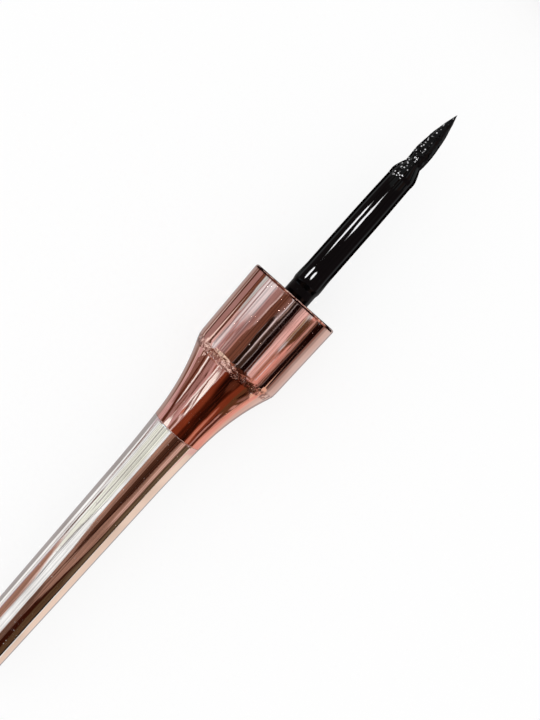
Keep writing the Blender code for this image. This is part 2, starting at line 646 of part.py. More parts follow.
def main():
    clear_scene()
    bottle_empty = body_empty("bottle_axis", BOTTLE_SHOULDER_AT)
    bottle = (bottle_empty, BOTTLE_SHOULDER_AT)
    applicator = (body_empty("applicator_axis", 0.0), 0.0)
    ball_empty = body_empty("ball_axis", BALL_AT)
    ball_empty.matrix_basis = Matrix.Translation((0.0, 0.0, -BALL_DROP)) @ ball_empty.matrix_basis

    silver = plain_material("silver", (0.80, 0.78, 0.76), 1.0, 0.12)
    rose_gold = plain_material("rose_gold", (0.83, 0.60, 0.52), 1.0, 0.10)
    sleeve_rose = plain_material("sleeve_rose", (0.83, 0.60, 0.52), 1.0, 0.10)
    black_gloss = plain_material("black_gloss", (0.012, 0.012, 0.013), 0.0, 0.12)
    bristle_black = plain_material("bristle_black", (0.006, 0.006, 0.006), 0.0, 0.25)
    cap_plastic = plain_material("cap_plastic", (0.03, 0.03, 0.03), 0.0, 0.40)
    core_plastic = plain_material("core_plastic", (0.80, 0.80, 0.78), 0.0, 0.45)
    liner_foam = plain_material("liner_foam", (0.85, 0.85, 0.83), 0.0, 0.70)
    steel = plain_material("steel", (0.55, 0.55, 0.55), 1.0, 0.35)
    wiper_rubber = plain_material("wiper_rubber", (0.85, 0.85, 0.82), 0.0, 0.50)
    vial_plastic = plain_material("vial_plastic", (0.05, 0.05, 0.05), 0.0, 0.25)
    base_plastic = plain_material("base_plastic", (0.03, 0.03, 0.03), 0.0, 0.35)
    ball_steel = plain_material("ball_steel", (0.60, 0.60, 0.60), 1.0, 0.15)

    make_handle(silver, applicator)
    make_core(core_plastic, applicator)
    make_weight(steel, applicator)
    make_collar(rose_gold, applicator)
    make_inner_cap(cap_plastic, applicator)
    make_liner(liner_foam, applicator)
    make_rod(black_gloss, applicator)
    make_brush(bristle_black, applicator)
    make_vial(vial_plastic, bottle)
    make_wiper(wiper_rubber, bottle)
    make_sleeve(sleeve_rose, bottle)
    make_base(base_plastic, bottle)
    make_ball(ball_steel, ball_empty)
    bpy.context.view_layer.update()


main()
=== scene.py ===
"""Looks of the dip liquid eyeliner: its brush cap, drawn out, in line with its bottle.

Lengths are written in millimetres and turned into metres by MM. Places along the common axis are
counted from the rim of the collar, + towards the bottle, and the ends of the pieces come from
the frame. Angles round the axis are counted from straight up, + towards +Y.
"""

import math
import random

import bmesh
import bpy
from mathutils import Matrix, Vector, noise


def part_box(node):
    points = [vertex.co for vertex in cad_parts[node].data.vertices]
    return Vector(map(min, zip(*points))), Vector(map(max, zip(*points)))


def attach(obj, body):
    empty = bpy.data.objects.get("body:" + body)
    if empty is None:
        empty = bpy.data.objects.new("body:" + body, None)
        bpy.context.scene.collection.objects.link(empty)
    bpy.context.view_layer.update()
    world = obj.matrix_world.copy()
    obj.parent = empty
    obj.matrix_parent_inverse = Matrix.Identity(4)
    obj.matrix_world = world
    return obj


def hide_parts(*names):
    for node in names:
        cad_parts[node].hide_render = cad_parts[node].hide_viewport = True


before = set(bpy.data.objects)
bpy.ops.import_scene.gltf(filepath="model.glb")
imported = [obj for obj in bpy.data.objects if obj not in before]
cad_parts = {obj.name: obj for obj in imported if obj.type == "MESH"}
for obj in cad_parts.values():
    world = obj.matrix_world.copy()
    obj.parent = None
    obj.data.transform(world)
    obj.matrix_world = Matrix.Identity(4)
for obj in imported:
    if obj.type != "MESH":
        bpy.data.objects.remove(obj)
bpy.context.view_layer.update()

MM = 0.001
RIM_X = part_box("bell_collar")[1].x
AXIS_Z = sum(corner.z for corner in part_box("bell_collar")) / 2.0


def span(node):
    """The places along the axis where a node begins and ends."""
    low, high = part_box(node)
    return (low.x - RIM_X) / MM, (high.x - RIM_X) / MM


# Ends of the pieces, from the frame
THROAT_AT = span("bell_collar")[0]
HANDLE_BACK_AT = span("handle_tube")[0]
ROD_BACK_AT, ROD_END_AT = span("rod")
CAP_BACK_AT, CAP_FRONT_AT = span("inner_cap")
LINER_BACK_AT = span("cap_liner")[0]
TIP_AT = span("brush_tuft")[1]
MOUTH_AT, VIAL_BOTTOM_AT = span("vial")
WIPER_FRONT_AT, WIPER_LIP_AT = span("wiper")
BOTTLE_SHOULDER_AT, SLEEVE_END_AT = span("bottle_sleeve")
BASE_POST_AT, BASE_AT = span("base_plug")

# Turned skins: fine enough for mirrors, and just inside the facets of the solids
SIDES = 192
FACET_SHARE = math.cos(math.pi / 48)
SHARP_ANGLE = math.radians(32.0)
FINE_STEPS = 8
HAIRLINE = 0.02
SUPPORT = 0.04

# Eased edges
FINE_EASE = 0.12
SMALL_EASE = 0.15
EASE = 0.2
WIDE_EASE = 0.25

# Collar and bell
COLLAR_RADIUS = 8.0
COLLAR_BACK_RADIUS = 7.7
COLLAR_WALL = 0.75
COLLAR_LENGTH = 14.1
COLLAR_LIP_ROUND = 0.45
SHOULDER_ROUND = 0.4
LUMP_SCALE = 1.3
LUMP_SCALE_ROUND = 8.0
FINE_LUMP_SHARE = 0.5
FINE_LUMP_SCALE = 2.3
CREASE_LUMP = 0.030
CREASE_SINK = 1.5
CREASE_CORE = 0.2
CREASE_REACH = 0.85
CREASE_SHIFT = 0.45
CREASE_DEPTH = 0.20
RIM_LUMP = 0.010
RIM_CORE = 0.3
RIM_REACH = 0.75
RIM_DEPTH = 0.004
THROAT_RADIUS = 4.57
SEAM_ROUND = 0.05
FLARE_SHARES = (0.0, 0.081, 0.37, 1.0)
BELL_STEPS = 60

# Handle
HANDLE_STRAIGHT_RADIUS = 4.31
HANDLE_END_RADIUS = 3.56
HANDLE_SWELL_LENGTH = 11.0
HANDLE_WALL = 0.45
HANDLE_EDGE_ROUND = 0.9
HANDLE_DOME_HEIGHT = 0.3

# Rod
ROD_RADIUS = 2.31
BEAD_AT = 1.8
BEAD_CREST_AT = 2.65
BEAD_END_AT = 5.7
BEAD_HEIGHT = 0.13
SLOW_END_AT = 17.55
SLOW_END_RADIUS = 2.26
STEM_END_AT = 24.0
STEM_END_RADIUS = 2.14
LIP_LENGTH = 1.2
LIP_HEIGHT = 0.05
NOSE_RADIUS = 1.41
NOSE_BORE = 1.10
NOSE_DEPTH = 1.0

# Brush: the wet mass of bristles and the ink that holds them together
INK_START_AT = 26.0
INK_START_RADIUS = 1.74
INK_RINGS = 150
INK_TWIST = 1.3
INK_FREE_SHARES = (0.10, 0.30)
INK_SWELL = 0.050
INK_SWELL_SCALES = (1.1, 0.75)
INK_LUMP = 0.026
INK_LUMP_SCALES = (2.6, 1.7)
INK_LUMP_SHIFT = (7.0, 3.0)
INK_RIDGE = 0.010
INK_RIDGE_SCALES = (5.0, 0.45)
INK_FINE_RADIUS = 0.6
ROOT_RADIUS = 1.42
ROOT_LENGTH = 0.5
BELLY_AT = 29.9
BELLY_RADIUS = 1.46
MIDDLE_AT = 33.2
MIDDLE_RADIUS = 1.05
LATE_AT = 35.6
LATE_RADIUS = 0.50
BRUSH_LEAN = -0.02
LEAN_START_AT = ROD_END_AT - 1.6
LEAN_END_AT = ROD_END_AT + 1.0
STRAND_COUNT = 620
STRAND_RADIUS = 0.034
STRAND_SIDES = 4
STRAND_RINGS = 18
STRAND_ROOT_AT = ROD_END_AT + 0.3
STRAND_SHORTENING = 0.42
STRAND_TAPER = 0.8
STRAND_WANDER = 0.05
STRAND_WANDER_RATE = 3.0
STRAND_FILL = 0.94
CLOSING_SQUEEZE = 0.02
CLOSING_FROM = 0.15
PROUD_HEIGHT = 0.012
PROUD_FROM = 0.86
LOCKS = 13
LOCK_SHIFT = 0.3
LOCK_PULL = 0.45
GOLDEN_ANGLE = math.pi * (3.0 - math.sqrt(5.0))

# Inner cap, neck, wiper and bottle
CAP_RADIUS = 6.65
CAP_BORE = 5.75
CAP_ROOF = 1.0
CAP_BOSS_RADIUS = 3.31
CAP_SOCKET_RADIUS = 2.61
CAP_SOCKET_END = 0.8
CAP_BORE_STEPS = 90
CAP_THREAD_OFFSET = 1.4
LINER_SEAT = 0.3
NECK_RADIUS = 5.2
NECK_BORE = 4.3
NECK_STEPS = 100
NECK_THREAD_OFFSET = 1.2
NECK_RING_FOOT = 0.02
NECK_RING_HEIGHT = 0.2
NECK_RING_WIDTH = 0.8
NECK_RING_OFFSET = 1.2
THREAD_HEIGHT = 0.20
THREAD_PITCH = 2.6
THREAD_WIDTH = 1.1
THREAD_TURNS = 2.0
THREAD_FADE = 0.12
THREAD_FULLNESS = 0.6
THREAD_WALL = 0.01
WIPER_BORE = 3.5
WIPER_RADIUS = 4.0
WIPER_FLANGE_RADIUS = 5.0
WIPER_FLANGE_THICKNESS = 0.6
WIPER_TUBE_LENGTH = 7.8
WIPER_LIP_RADIUS = 3.0
WIPER_LIP_OUTER = 3.35
VIAL_RADIUS = 6.9
VIAL_BORE = 6.1
VIAL_SHOULDER_OFFSET = 1.1
VIAL_SHOULDER_WALL = 1.0
VIAL_FLOOR_WALL = 1.0
VIAL_BOTTOM_ROUND = 1.5
SLEEVE_WALL = 0.8
SLEEVE_HOLE = 5.7
SLEEVE_EDGE_ROUND = 0.15
BASE_FLANGE_THICKNESS = 1.2
BASE_FLANGE_RADIUS = 7.9
BASE_SKIRT_RADIUS = 6.9
BASE_SKIRT_BORE = 5.9
BASE_POST_RADIUS = 3.0
BASE_EDGE_ROUND = 0.4
BASE_FACE_STEPS = 48
TURNING_MARK = 0.012

# Camera, as the photograph was taken: straight above the rim of the collar and close to it
PICTURE_LONG_SIDE = 720
FOCAL_LENGTH_PIXELS = 948
SENSOR = 36.0
CAMERA_DISTANCE = 148.2
CAMERA_TILT = math.radians(3.86)
CAMERA_SIDE_STEP = -3.46
AXIS_ANGLE = math.radians(48.41)

# Floor
FLOOR_HALF = 3.0
FLOOR_GLOW_SHARE = 0.8

# Colours, linear
SILVER = (0.86, 0.83, 0.80)
SILVER_DULL = (0.70, 0.66, 0.63)
ROSE = (0.84, 0.565, 0.475)
ROSE_DULL = (0.72, 0.43, 0.35)
# Painted shade over the lumps of the crease and the lip
ROSE_PAINTED_SHADE = (0.22, 0.07, 0.045)
BARE_METAL = (0.90, 0.80, 0.75)
BLACK_PLASTIC = (0.0008, 0.0008, 0.0009)
BLACK_WORN = (0.008, 0.008, 0.0085)
INK = (0.0008, 0.0008, 0.0009)
# Painted highlights on the brush's wet ink
PAINTED_GLINT = (0.95, 0.95, 0.96)
WET_GREY = (0.006, 0.006, 0.0065)
MOULDED_BLACK = (0.020, 0.020, 0.021)
MOULDED_GREY = (0.040, 0.040, 0.041)
NATURAL_WHITE = (0.80, 0.80, 0.77)
NATURAL_SHADE = (0.70, 0.69, 0.65)
STEEL = (0.56, 0.56, 0.57)
STEEL_DULL = (0.42, 0.42, 0.43)
FLOOR_SHADE = (0.97, 0.97, 0.97)
FLOOR_LIGHT = (0.98, 0.98, 0.98)

# Surfaces: relief and reach in millimetres, stretch of what is drawn out along the axis, and IOR
PLATING_WAVE = 0.0045
PLATING_PEEL = 0.0030
PLATING_LINES = 0.00055
PLATING_DUST = 0.012
PLATING_STRETCH = 0.035
EDGE_WEAR_REACH = 0.30
BRIGHT_EDGE_CORE = 0.06
BRIGHT_EDGE_REACH = 0.11
# Painted highlights on the brush: their cells, size and bare share, and the places, sides and heights where
# they lie
PAINTED_GLINT_SCALE = 2.2
PAINTED_GLINT_SIZE = 0.40
PAINTED_GLINT_BARE_SHARE = 0.38
PAINTED_GLINTS_PLACES = (23.6, 24.1)
PAINTED_GLINTS_SIDES = (-0.05, 0.10)
PAINTED_GLINTS_HEIGHTS = (0.0, 0.2)
GLOSS_IOR = 1.24
GLOSS_RIPPLE = 0.0020
GLOSS_DUST = 0.010
GLOSS_STRETCH = 0.06
WET_IOR = 1.22
WET_LUMPS = 0.030
WET_BEADS = 0.050
WET_STRANDS = 0.003
WET_STRETCH = 0.22
MOULD_FLOW = 0.004
STEEL_RINGS = 0.0025


def point(place, radius, angle, lean=0.0):
    """A point in metres, at a place along the axis and a radius and angle round it."""
    return (
        RIM_X + place * MM,
        (radius * math.sin(angle) + lean) * MM,
        AXIS_Z + radius * math.cos(angle) * MM,
    )


def supported(outline):
    """Adds a point just inside each end of a long straight stretch, to keep its shading straight."""
    points = []
    for first, last in zip(outline, outline[1:]):
        points.append(first)
        length = math.hypot(last[0] - first[0], last[1] - first[1])
        if length > 4.0 * SUPPORT and first[1] > 0.0 and last[1] > 0.0:
            for share in (SUPPORT / length, 1.0 - SUPPORT / length):
                points.append(tuple(a + (b - a) * share for a, b in zip(first, last)))
    points.append(outline[-1])
    return points


def finished_object(name, form):
    """Turns a bmesh into a smooth-shaded object of that name."""
    bmesh.ops.recalc_face_normals(form, faces=form.faces)
    mesh = bpy.data.meshes.new(name)
    form.to_mesh(mesh)
    form.free()
    mesh.shade_smooth()
    mesh.set_sharp_from_angle(angle=SHARP_ANGLE)
    obj = bpy.data.objects.new(name, mesh)
    bpy.context.scene.collection.objects.link(obj)
    return obj


def join_rings(form, low, high):
    """Faces between two rings of points, either of which may be a single point."""
    sides = max(len(low), len(high))
    for side in range(sides):
        after = (side + 1) % sides
        if len(low) == 1:
            form.faces.new((low[0], high[after], high[side]))
        elif len(high) == 1:
            form.faces.new((low[side], low[after], high[0]))
        else:
            form.faces.new((low[side], low[after], high[after], high[side]))


def turned(name, outline, relief=None, lean=None):
    """Turns an outline of (place, radius) points. Relief adds to a point's radius, lean to its y."""
    form = bmesh.new()
    rings = []
    for place, radius in supported(outline):
        shift = lean(place) if lean else 0.0
        if radius == 0.0:
            rings.append([form.verts.new(point(place, 0.0, 0.0, shift))])
            continue
        ring = []
        for side in range(SIDES):
            angle = math.tau * side / SIDES
            extra = relief(place, angle, radius) if relief else 0.0
            ring.append(form.verts.new(point(place, radius * FACET_SHARE + extra, angle, shift)))
        rings.append(ring)
    for low, high in zip(rings, rings[1:]):
        join_rings(form, low, high)
    if len(rings[0]) > 1 and len(rings[-1]) > 1:
        join_rings(form, rings[-1], rings[0])
    return finished_object(name, form)


def spread(start, end, steps):
    """Evenly spaced values from start to end."""
    return [start + (end - start) * step / steps for step in range(steps + 1)]


def rounded(corner, toward_first, toward_last, size):
    """The points of a corner that is eased by size along both of its sides."""
    middle = Vector(corner)
    first = middle + size * (Vector(toward_first) - middle).normalized()
    last = middle + size * (Vector(toward_last) - middle).normalized()
    points = []
    for t in spread(0.0, 1.0, FINE_STEPS):
        points.append(tuple(first * (1.0 - t) ** 2 + middle * (2.0 * t * (1.0 - t)) + last * t**2))
    return points


def line(start, end, steps):
    """Points between two others, without them."""
    places, radii = (spread(first, last, steps) for first, last in zip(start, end))
    return list(zip(places, radii))[1:-1]


def eased(*corners):
    """An outline of (place, radius) corners.

    A corner's third item, if it has one, rounds it. The fourth is the steps to the next corner.
    """
    turns = []
    for index, corner in enumerate(corners):
        after = corners[(index + 1) % len(corners)]
        if len(corner) > 2 and corner[2]:
            turns.append(rounded(corner[:2], corners[index - 1][:2], after[:2], corner[2]))
        else:
            turns.append([corner[:2]])
    outline = []
    for corner, turn, following in zip(corners, turns, turns[1:] + turns[:1]):
        outline += turn
        if len(corner) > 3:
            outline += line(turn[-1], following[0], corner[3])
    return outline


def smooth_rise(low, high, value):
    """0 below low, 1 above high and an eased rise between them."""
    t = min(1.0, max(0.0, (value - low) / (high - low)))
    return t * t * (3.0 - 2.0 * t)


def through(knots, place):
    """The radius at a place on a smooth curve through (place, radius) knots."""
    last = len(knots) - 1
    index = max(0, min(last - 1, sum(1 for knot in knots if knot[0] <= place) - 1))
    (x0, y0), (x1, y1) = knots[index], knots[index + 1]
    before, after = knots[max(0, index - 1)], knots[min(last, index + 2)]
    width = x1 - x0
    slope0 = (y1 - before[1]) / (x1 - before[0]) * width
    slope1 = (after[1] - y0) / (after[0] - x0) * width
    t = (place - x0) / width
    return (
        y0 * (2 * t**3 - 3 * t**2 + 1)
        + slope0 * (t**3 - 2 * t**2 + t)
        + y1 * (3 * t**2 - 2 * t**3)
        + slope1 * (t**3 - t**2)
    )


def curve(knots, steps):
    """Points on the smooth curve through knots, without the first."""
    return [(place, through(knots, place)) for place in spread(knots[0][0], knots[-1][0], steps)[1:]]


def helix_relief(start, height, wall_radius):
    """A screw thread as a relief: a rounded ridge that climbs round the axis and fades at its ends."""

    def relief(place, angle, radius):
        if abs(radius - wall_radius) >= THREAD_WALL:
            return 0.0
        ridge = 0.0
        for count in range(int(THREAD_TURNS) + 1):
            along = angle / math.tau + count
            offset = place - (start + along * THREAD_PITCH)
            crest = max(0.0, 1.0 - (2.0 * offset / THREAD_WIDTH) ** 2)
            fade = smooth_rise(0.0, THREAD_FADE, along)
            fade *= 1.0 - smooth_rise(THREAD_TURNS - THREAD_FADE, THREAD_TURNS, along)
            ridge = max(ridge, crest**THREAD_FULLNESS * fade)
        return ridge * height

    return relief


def flare_radius(share):
    """The bell's radius at a share of its length from the throat, a cubic curve."""
    a, b, c, d = FLARE_SHARES
    rest = 1.0 - share
    rise = a * rest**3 + 3.0 * b * rest**2 * share + 3.0 * c * rest * share**2 + d * share**3
    return THROAT_RADIUS + (COLLAR_BACK_RADIUS - THROAT_RADIUS) * rise


def flare(steps, wall, first_share, last_share):
    """Points along the bell from one share of its length to another, wall inside its skin."""
    length = -COLLAR_LENGTH - THROAT_AT
    shares = spread(first_share, last_share, steps)
    return [(THROAT_AT + share * length, flare_radius(share) - wall) for share in shares]


def handle_radius(place):
    """The handle's outer radius: a straight taper that swells to meet the throat."""
    away = THROAT_AT - place
    taper = (HANDLE_END_RADIUS - HANDLE_STRAIGHT_RADIUS) * away / (THROAT_AT - HANDLE_BACK_AT)
    swell_share = max(0.0, 1.0 - away / HANDLE_SWELL_LENGTH)
    swell = (THROAT_RADIUS - HANDLE_STRAIGHT_RADIUS) * swell_share**2
    return HANDLE_STRAIGHT_RADIUS + taper + swell


def make_collar():
    """The plated shell: a mouth with a soft lip, a near straight collar and the flared bell."""
    length = -COLLAR_LENGTH - THROAT_AT
    shoulder = (-COLLAR_LENGTH, COLLAR_BACK_RADIUS)
    bell_end_share = 1.0 - SHOULDER_ROUND / length
    bell_end = flare(1, 0.0, bell_end_share, bell_end_share)[0]
    rim = (0.0, COLLAR_RADIUS)
    inner_rim = (0.0, COLLAR_RADIUS - COLLAR_WALL)
    inner_shoulder = (-COLLAR_LENGTH, COLLAR_BACK_RADIUS - COLLAR_WALL)
    outline = rounded(rim, inner_rim, shoulder, COLLAR_LIP_ROUND)
    turn = rounded(shoulder, rim, bell_end, SHOULDER_ROUND)
    outline += line(outline[-1], turn[0], BELL_STEPS) + turn
    outline += flare(BELL_STEPS, 0.0, bell_end_share, SEAM_ROUND / length)[1:-1]
    throat = (THROAT_AT, THROAT_RADIUS)
    outline += rounded(throat, outline[-1], (THROAT_AT, 0.0), SEAM_ROUND)
    outline += flare(BELL_STEPS // 2, COLLAR_WALL, 0.0, 1.0)
    outline += [inner_shoulder] + rounded(inner_rim, inner_shoulder, rim, COLLAR_LIP_ROUND)

    def relief(place, angle, radius):
        if radius < COLLAR_BACK_RADIUS - COLLAR_WALL / 2.0:
            return 0.0
        crease = 1.0 - smooth_rise(CREASE_CORE, CREASE_REACH, abs(place + COLLAR_LENGTH))
        near_rim = 1.0 - smooth_rise(RIM_CORE, RIM_REACH, abs(place))
        around = (math.cos(angle) * LUMP_SCALE_ROUND, math.sin(angle) * LUMP_SCALE_ROUND)
        spot = Vector((place * LUMP_SCALE, *around))
        lumps = noise.noise(spot) + FINE_LUMP_SHARE * noise.noise(FINE_LUMP_SCALE * spot)
        return CREASE_LUMP * crease * (lumps - CREASE_SINK) + RIM_LUMP * near_rim * lumps

    return turned("bell_shell", outline, relief)


def make_handle():
    """The drawn silver shell, which meets the bell at a hairline joint."""
    front = THROAT_AT - HAIRLINE
    side_end = HANDLE_BACK_AT + HANDLE_DOME_HEIGHT
    end_radius = handle_radius(side_end)
    dome_radius = end_radius - HANDLE_EDGE_ROUND
    dome = [
        (HANDLE_BACK_AT + HANDLE_DOME_HEIGHT * share**2 / 2.0, dome_radius * share)
        for share in spread(0.0, 1.0, FINE_STEPS)[:-1]
    ]
    edge = rounded(
        (side_end - HANDLE_DOME_HEIGHT / 4.0, end_radius),
        (dome[-1][0], dome_radius),
        (front, end_radius),
        HANDLE_EDGE_ROUND,
    )
    side = spread(edge[-1][0], front - SEAM_ROUND, BELL_STEPS)[1:]
    outline = dome + edge + [(place, handle_radius(place)) for place in side]
    outline += rounded((front, handle_radius(front)), outline[-1], (front, 0.0), SEAM_ROUND)
    inner_end = side_end + HANDLE_WALL
    inner = spread(front, inner_end, FINE_STEPS)
    outline += [(place, handle_radius(place) - HANDLE_WALL) for place in inner]
    outline.append((inner_end, 0.0))
    return turned("handle_shell", outline)


def make_rod():
    """The glossy stem: a neck, a bead, a slight taper, a lip and the nose that holds the brush."""
    outline = [(ROD_BACK_AT, 0.0), (ROD_BACK_AT, ROD_RADIUS)]
    for t in spread(0.0, 1.0, 2 * FINE_STEPS)[:-1]:
        place = BEAD_AT + t * (BEAD_CREST_AT - BEAD_AT)
        outline.append((place, ROD_RADIUS + BEAD_HEIGHT * math.sin(math.pi * t / 2.0) ** 2))
    for t in spread(0.0, 1.0, 2 * FINE_STEPS):
        place = BEAD_CREST_AT + t * (BEAD_END_AT - BEAD_CREST_AT)
        outline.append((place, ROD_RADIUS + BEAD_HEIGHT * (1.0 - t) ** 2 * (1.0 + 2.0 * t)))
    stem = (
        (BEAD_END_AT, ROD_RADIUS),
        ((BEAD_END_AT + SLOW_END_AT) / 2.0, (2.0 * ROD_RADIUS + SLOW_END_RADIUS) / 3.0),
        (SLOW_END_AT, SLOW_END_RADIUS),
        (STEM_END_AT, STEM_END_RADIUS),
    )
    lip_end = STEM_END_AT + LIP_LENGTH
    nose = (
        (STEM_END_AT, STEM_END_RADIUS),
        (STEM_END_AT + LIP_LENGTH / 2.0, STEM_END_RADIUS + LIP_HEIGHT),
        (lip_end, STEM_END_RADIUS),
        ((lip_end + ROD_END_AT) / 2.0, (STEM_END_RADIUS + NOSE_RADIUS) / 2.0 + LIP_HEIGHT),
        (ROD_END_AT, NOSE_RADIUS),
    )
    outline += curve(stem, 4 * FINE_STEPS) + curve(nose, 3 * FINE_STEPS)
    bore_end = ROD_END_AT - NOSE_DEPTH
    outline += [(ROD_END_AT, NOSE_BORE), (bore_end, NOSE_BORE), (bore_end, 0.0)]
    return turned("rod_stem", outline)


def brush_lean(place):
    """How far the middle of the wet brush lies towards +Y."""
    return BRUSH_LEAN * smooth_rise(LEAN_START_AT, LEAN_END_AT, place)


def brush_radius(place):
    """The brush's outline: ink over the nose, a waist, a long belly and a fine point."""
    knots = [
        (INK_START_AT, INK_START_RADIUS),
        (ROD_END_AT, ROOT_RADIUS),
        (ROD_END_AT + ROOT_LENGTH, ROOT_RADIUS),
        (BELLY_AT, BELLY_RADIUS),
        (MIDDLE_AT, MIDDLE_RADIUS),
        (LATE_AT, LATE_RADIUS),
        (TIP_AT, 0.0),
    ]
    return max(0.0, through(knots, place))


def round_noise(place, angle, scale, scale_along, shift=(0.0, 0.0)):
    """Smooth noise about 0 on the skin of a turned piece."""
    x = math.cos(angle) * scale + shift[0]
    y = math.sin(angle) * scale + shift[1]
    return noise.noise(Vector((x, y, place * scale_along)))


def make_ink():
    """The ink that clings to the bristles: one wet skin, lumpy at its root and ridged by the hair."""
    outline = [(INK_START_AT, 0.0)]
    for place in spread(INK_START_AT, TIP_AT, INK_RINGS)[:-1]:
        outline.append((place, brush_radius(place) / FACET_SHARE))
    outline.append((TIP_AT, 0.0))

    def relief(place, angle, radius):
        share = (place - INK_START_AT) / (TIP_AT - INK_START_AT)
        free = smooth_rise(*INK_FREE_SHARES, share)
        turn = angle + INK_TWIST * share
        swell = round_noise(place, angle, *INK_SWELL_SCALES)
        lump = round_noise(place, angle, *INK_LUMP_SCALES, INK_LUMP_SHIFT)
        ridge = round_noise(place, turn, *INK_RIDGE_SCALES)
        size = INK_SWELL * swell + INK_LUMP * lump + INK_RIDGE * free * ridge
        return size * min(1.0, radius / INK_FINE_RADIUS)

    return turned("ink_skin", outline, relief, brush_lean)


def make_bristles():
    """The bristles, drawn into wet locks that close to the point. The outer ones end first."""
    draw = random.Random(11)
    form = bmesh.new()
    length = TIP_AT - STRAND_ROOT_AT
    shifts = [draw.uniform(-LOCK_SHIFT, LOCK_SHIFT) for lock in range(LOCKS)]
    lock_angles = [math.tau * (lock + shift) / LOCKS for lock, shift in enumerate(shifts)]
    for index in range(STRAND_COUNT):
        reach = math.sqrt((index + 0.5) / STRAND_COUNT)
        angle = index * GOLDEN_ANGLE
        lock = min(lock_angles, key=lambda other: abs(math.remainder(other - angle, math.tau)))
        toward_lock = math.remainder(lock - angle, math.tau)
        strand_length = length * (1.0 - STRAND_SHORTENING * reach * draw.random() ** 1.5)
        wander = draw.uniform(-STRAND_WANDER, STRAND_WANDER)
        proud = PROUD_HEIGHT * draw.random() if reach > PROUD_FROM else 0.0
        last = None
        for share in spread(0.0, 1.0, STRAND_RINGS - 1):
            place = STRAND_ROOT_AT + strand_length * share
            closing = smooth_rise(CLOSING_FROM, 1.0, strand_length * share / length)
            turn = angle + toward_lock * LOCK_PULL * closing
            turn += wander * math.sin(STRAND_WANDER_RATE * place + index)
            fill = reach * (STRAND_FILL - CLOSING_SQUEEZE * closing)
            radius = max(0.0, brush_radius(place) - STRAND_RADIUS) * fill
            radius += proud * math.sin(math.pi * min(1.0, share * 1.1)) ** 2
            thickness = STRAND_RADIUS * (1.0 - STRAND_TAPER * share**3)
            centre = Vector(point(place, radius, turn, brush_lean(place)))
            outward = Vector((0.0, math.sin(turn), math.cos(turn)))
            aside = Vector((0.0, math.cos(turn), -math.sin(turn)))
            ring = []
            for side in range(STRAND_SIDES):
                corner = math.tau * side / STRAND_SIDES
                away = outward * math.cos(corner) + aside * math.sin(corner)
                ring.append(form.verts.new(centre + away * thickness * MM))
            if last is None:
                form.faces.new(ring)
            else:
                join_rings(form, last, ring)
            last = ring
        form.faces.new(last)
    return finished_object("bristles", form)


def make_screw_cap():
    """The screw cap in the collar, with its thread and the socket that grips the rod."""
    roof_front = LINER_BACK_AT - LINER_SEAT
    roof_back = roof_front - CAP_ROOF
    socket_end = CAP_BACK_AT + CAP_SOCKET_END
    outline = eased(
        (CAP_BACK_AT, 0.0),
        (CAP_BACK_AT, CAP_BOSS_RADIUS, EASE),
        (roof_back, CAP_BOSS_RADIUS),
        (roof_back, CAP_RADIUS, EASE),
        (CAP_FRONT_AT, CAP_RADIUS, EASE),
        (CAP_FRONT_AT, CAP_BORE, WIDE_EASE, CAP_BORE_STEPS),
        (roof_front, CAP_BORE),
        (roof_front, CAP_SOCKET_RADIUS),
        (socket_end, CAP_SOCKET_RADIUS),
        (socket_end, 0.0),
    )
    start = CAP_FRONT_AT - CAP_THREAD_OFFSET - THREAD_PITCH * THREAD_TURNS
    return turned("screw_cap", outline, helix_relief(start, -THREAD_HEIGHT, CAP_BORE))


def make_vial():
    """The inner bottle with its threaded neck and neck ring."""
    ring_back = BOTTLE_SHOULDER_AT - NECK_RING_OFFSET
    ring_front = ring_back - NECK_RING_WIDTH
    shoulder = BOTTLE_SHOULDER_AT + VIAL_SHOULDER_OFFSET
    inner_shoulder = shoulder + VIAL_SHOULDER_WALL
    floor = VIAL_BOTTOM_AT - VIAL_FLOOR_WALL
    outline = eased(
        (VIAL_BOTTOM_AT, 0.0),
        (VIAL_BOTTOM_AT, VIAL_RADIUS, VIAL_BOTTOM_ROUND),
        (shoulder, VIAL_RADIUS, EASE),
        (shoulder, NECK_RADIUS),
    )
    for t in spread(0.0, 1.0, 2 * FINE_STEPS):
        rise = NECK_RING_HEIGHT * math.sin(math.pi * t) ** 0.5 if 0.0 < t < 1.0 else 0.0
        place = ring_back + t * (ring_front - ring_back)
        outline.append((place, NECK_RADIUS + NECK_RING_FOOT + rise))
    outline += eased(
        (ring_front, NECK_RADIUS, 0.0, NECK_STEPS),
        (MOUTH_AT, NECK_RADIUS, EASE),
        (MOUTH_AT, NECK_BORE, SMALL_EASE),
        (inner_shoulder, NECK_BORE),
        (inner_shoulder, VIAL_BORE),
        (floor, VIAL_BORE, VIAL_BOTTOM_ROUND),
        (floor, 0.0),
    )[1:]
    thread = helix_relief(MOUTH_AT + NECK_THREAD_OFFSET, THREAD_HEIGHT, NECK_RADIUS)
    return turned("vial_body", outline, thread)


def make_wiper():
    """The wiper: a flange on the mouth, a tube in the neck and a funnel that ends in a soft lip."""
    flange_back = WIPER_FRONT_AT + WIPER_FLANGE_THICKNESS
    tube_end = MOUTH_AT + WIPER_TUBE_LENGTH
    outline = eased(
        (WIPER_FRONT_AT, WIPER_BORE, WIDE_EASE),
        (WIPER_FRONT_AT, WIPER_FLANGE_RADIUS, SMALL_EASE),
        (flange_back, WIPER_FLANGE_RADIUS, SMALL_EASE),
        (flange_back, WIPER_RADIUS),
        (tube_end, WIPER_RADIUS),
        (WIPER_LIP_AT, WIPER_LIP_OUTER, FINE_EASE),
        (WIPER_LIP_AT, WIPER_LIP_RADIUS, FINE_EASE),
        (tube_end, WIPER_BORE),
    )
    return turned("wiper_insert", outline)


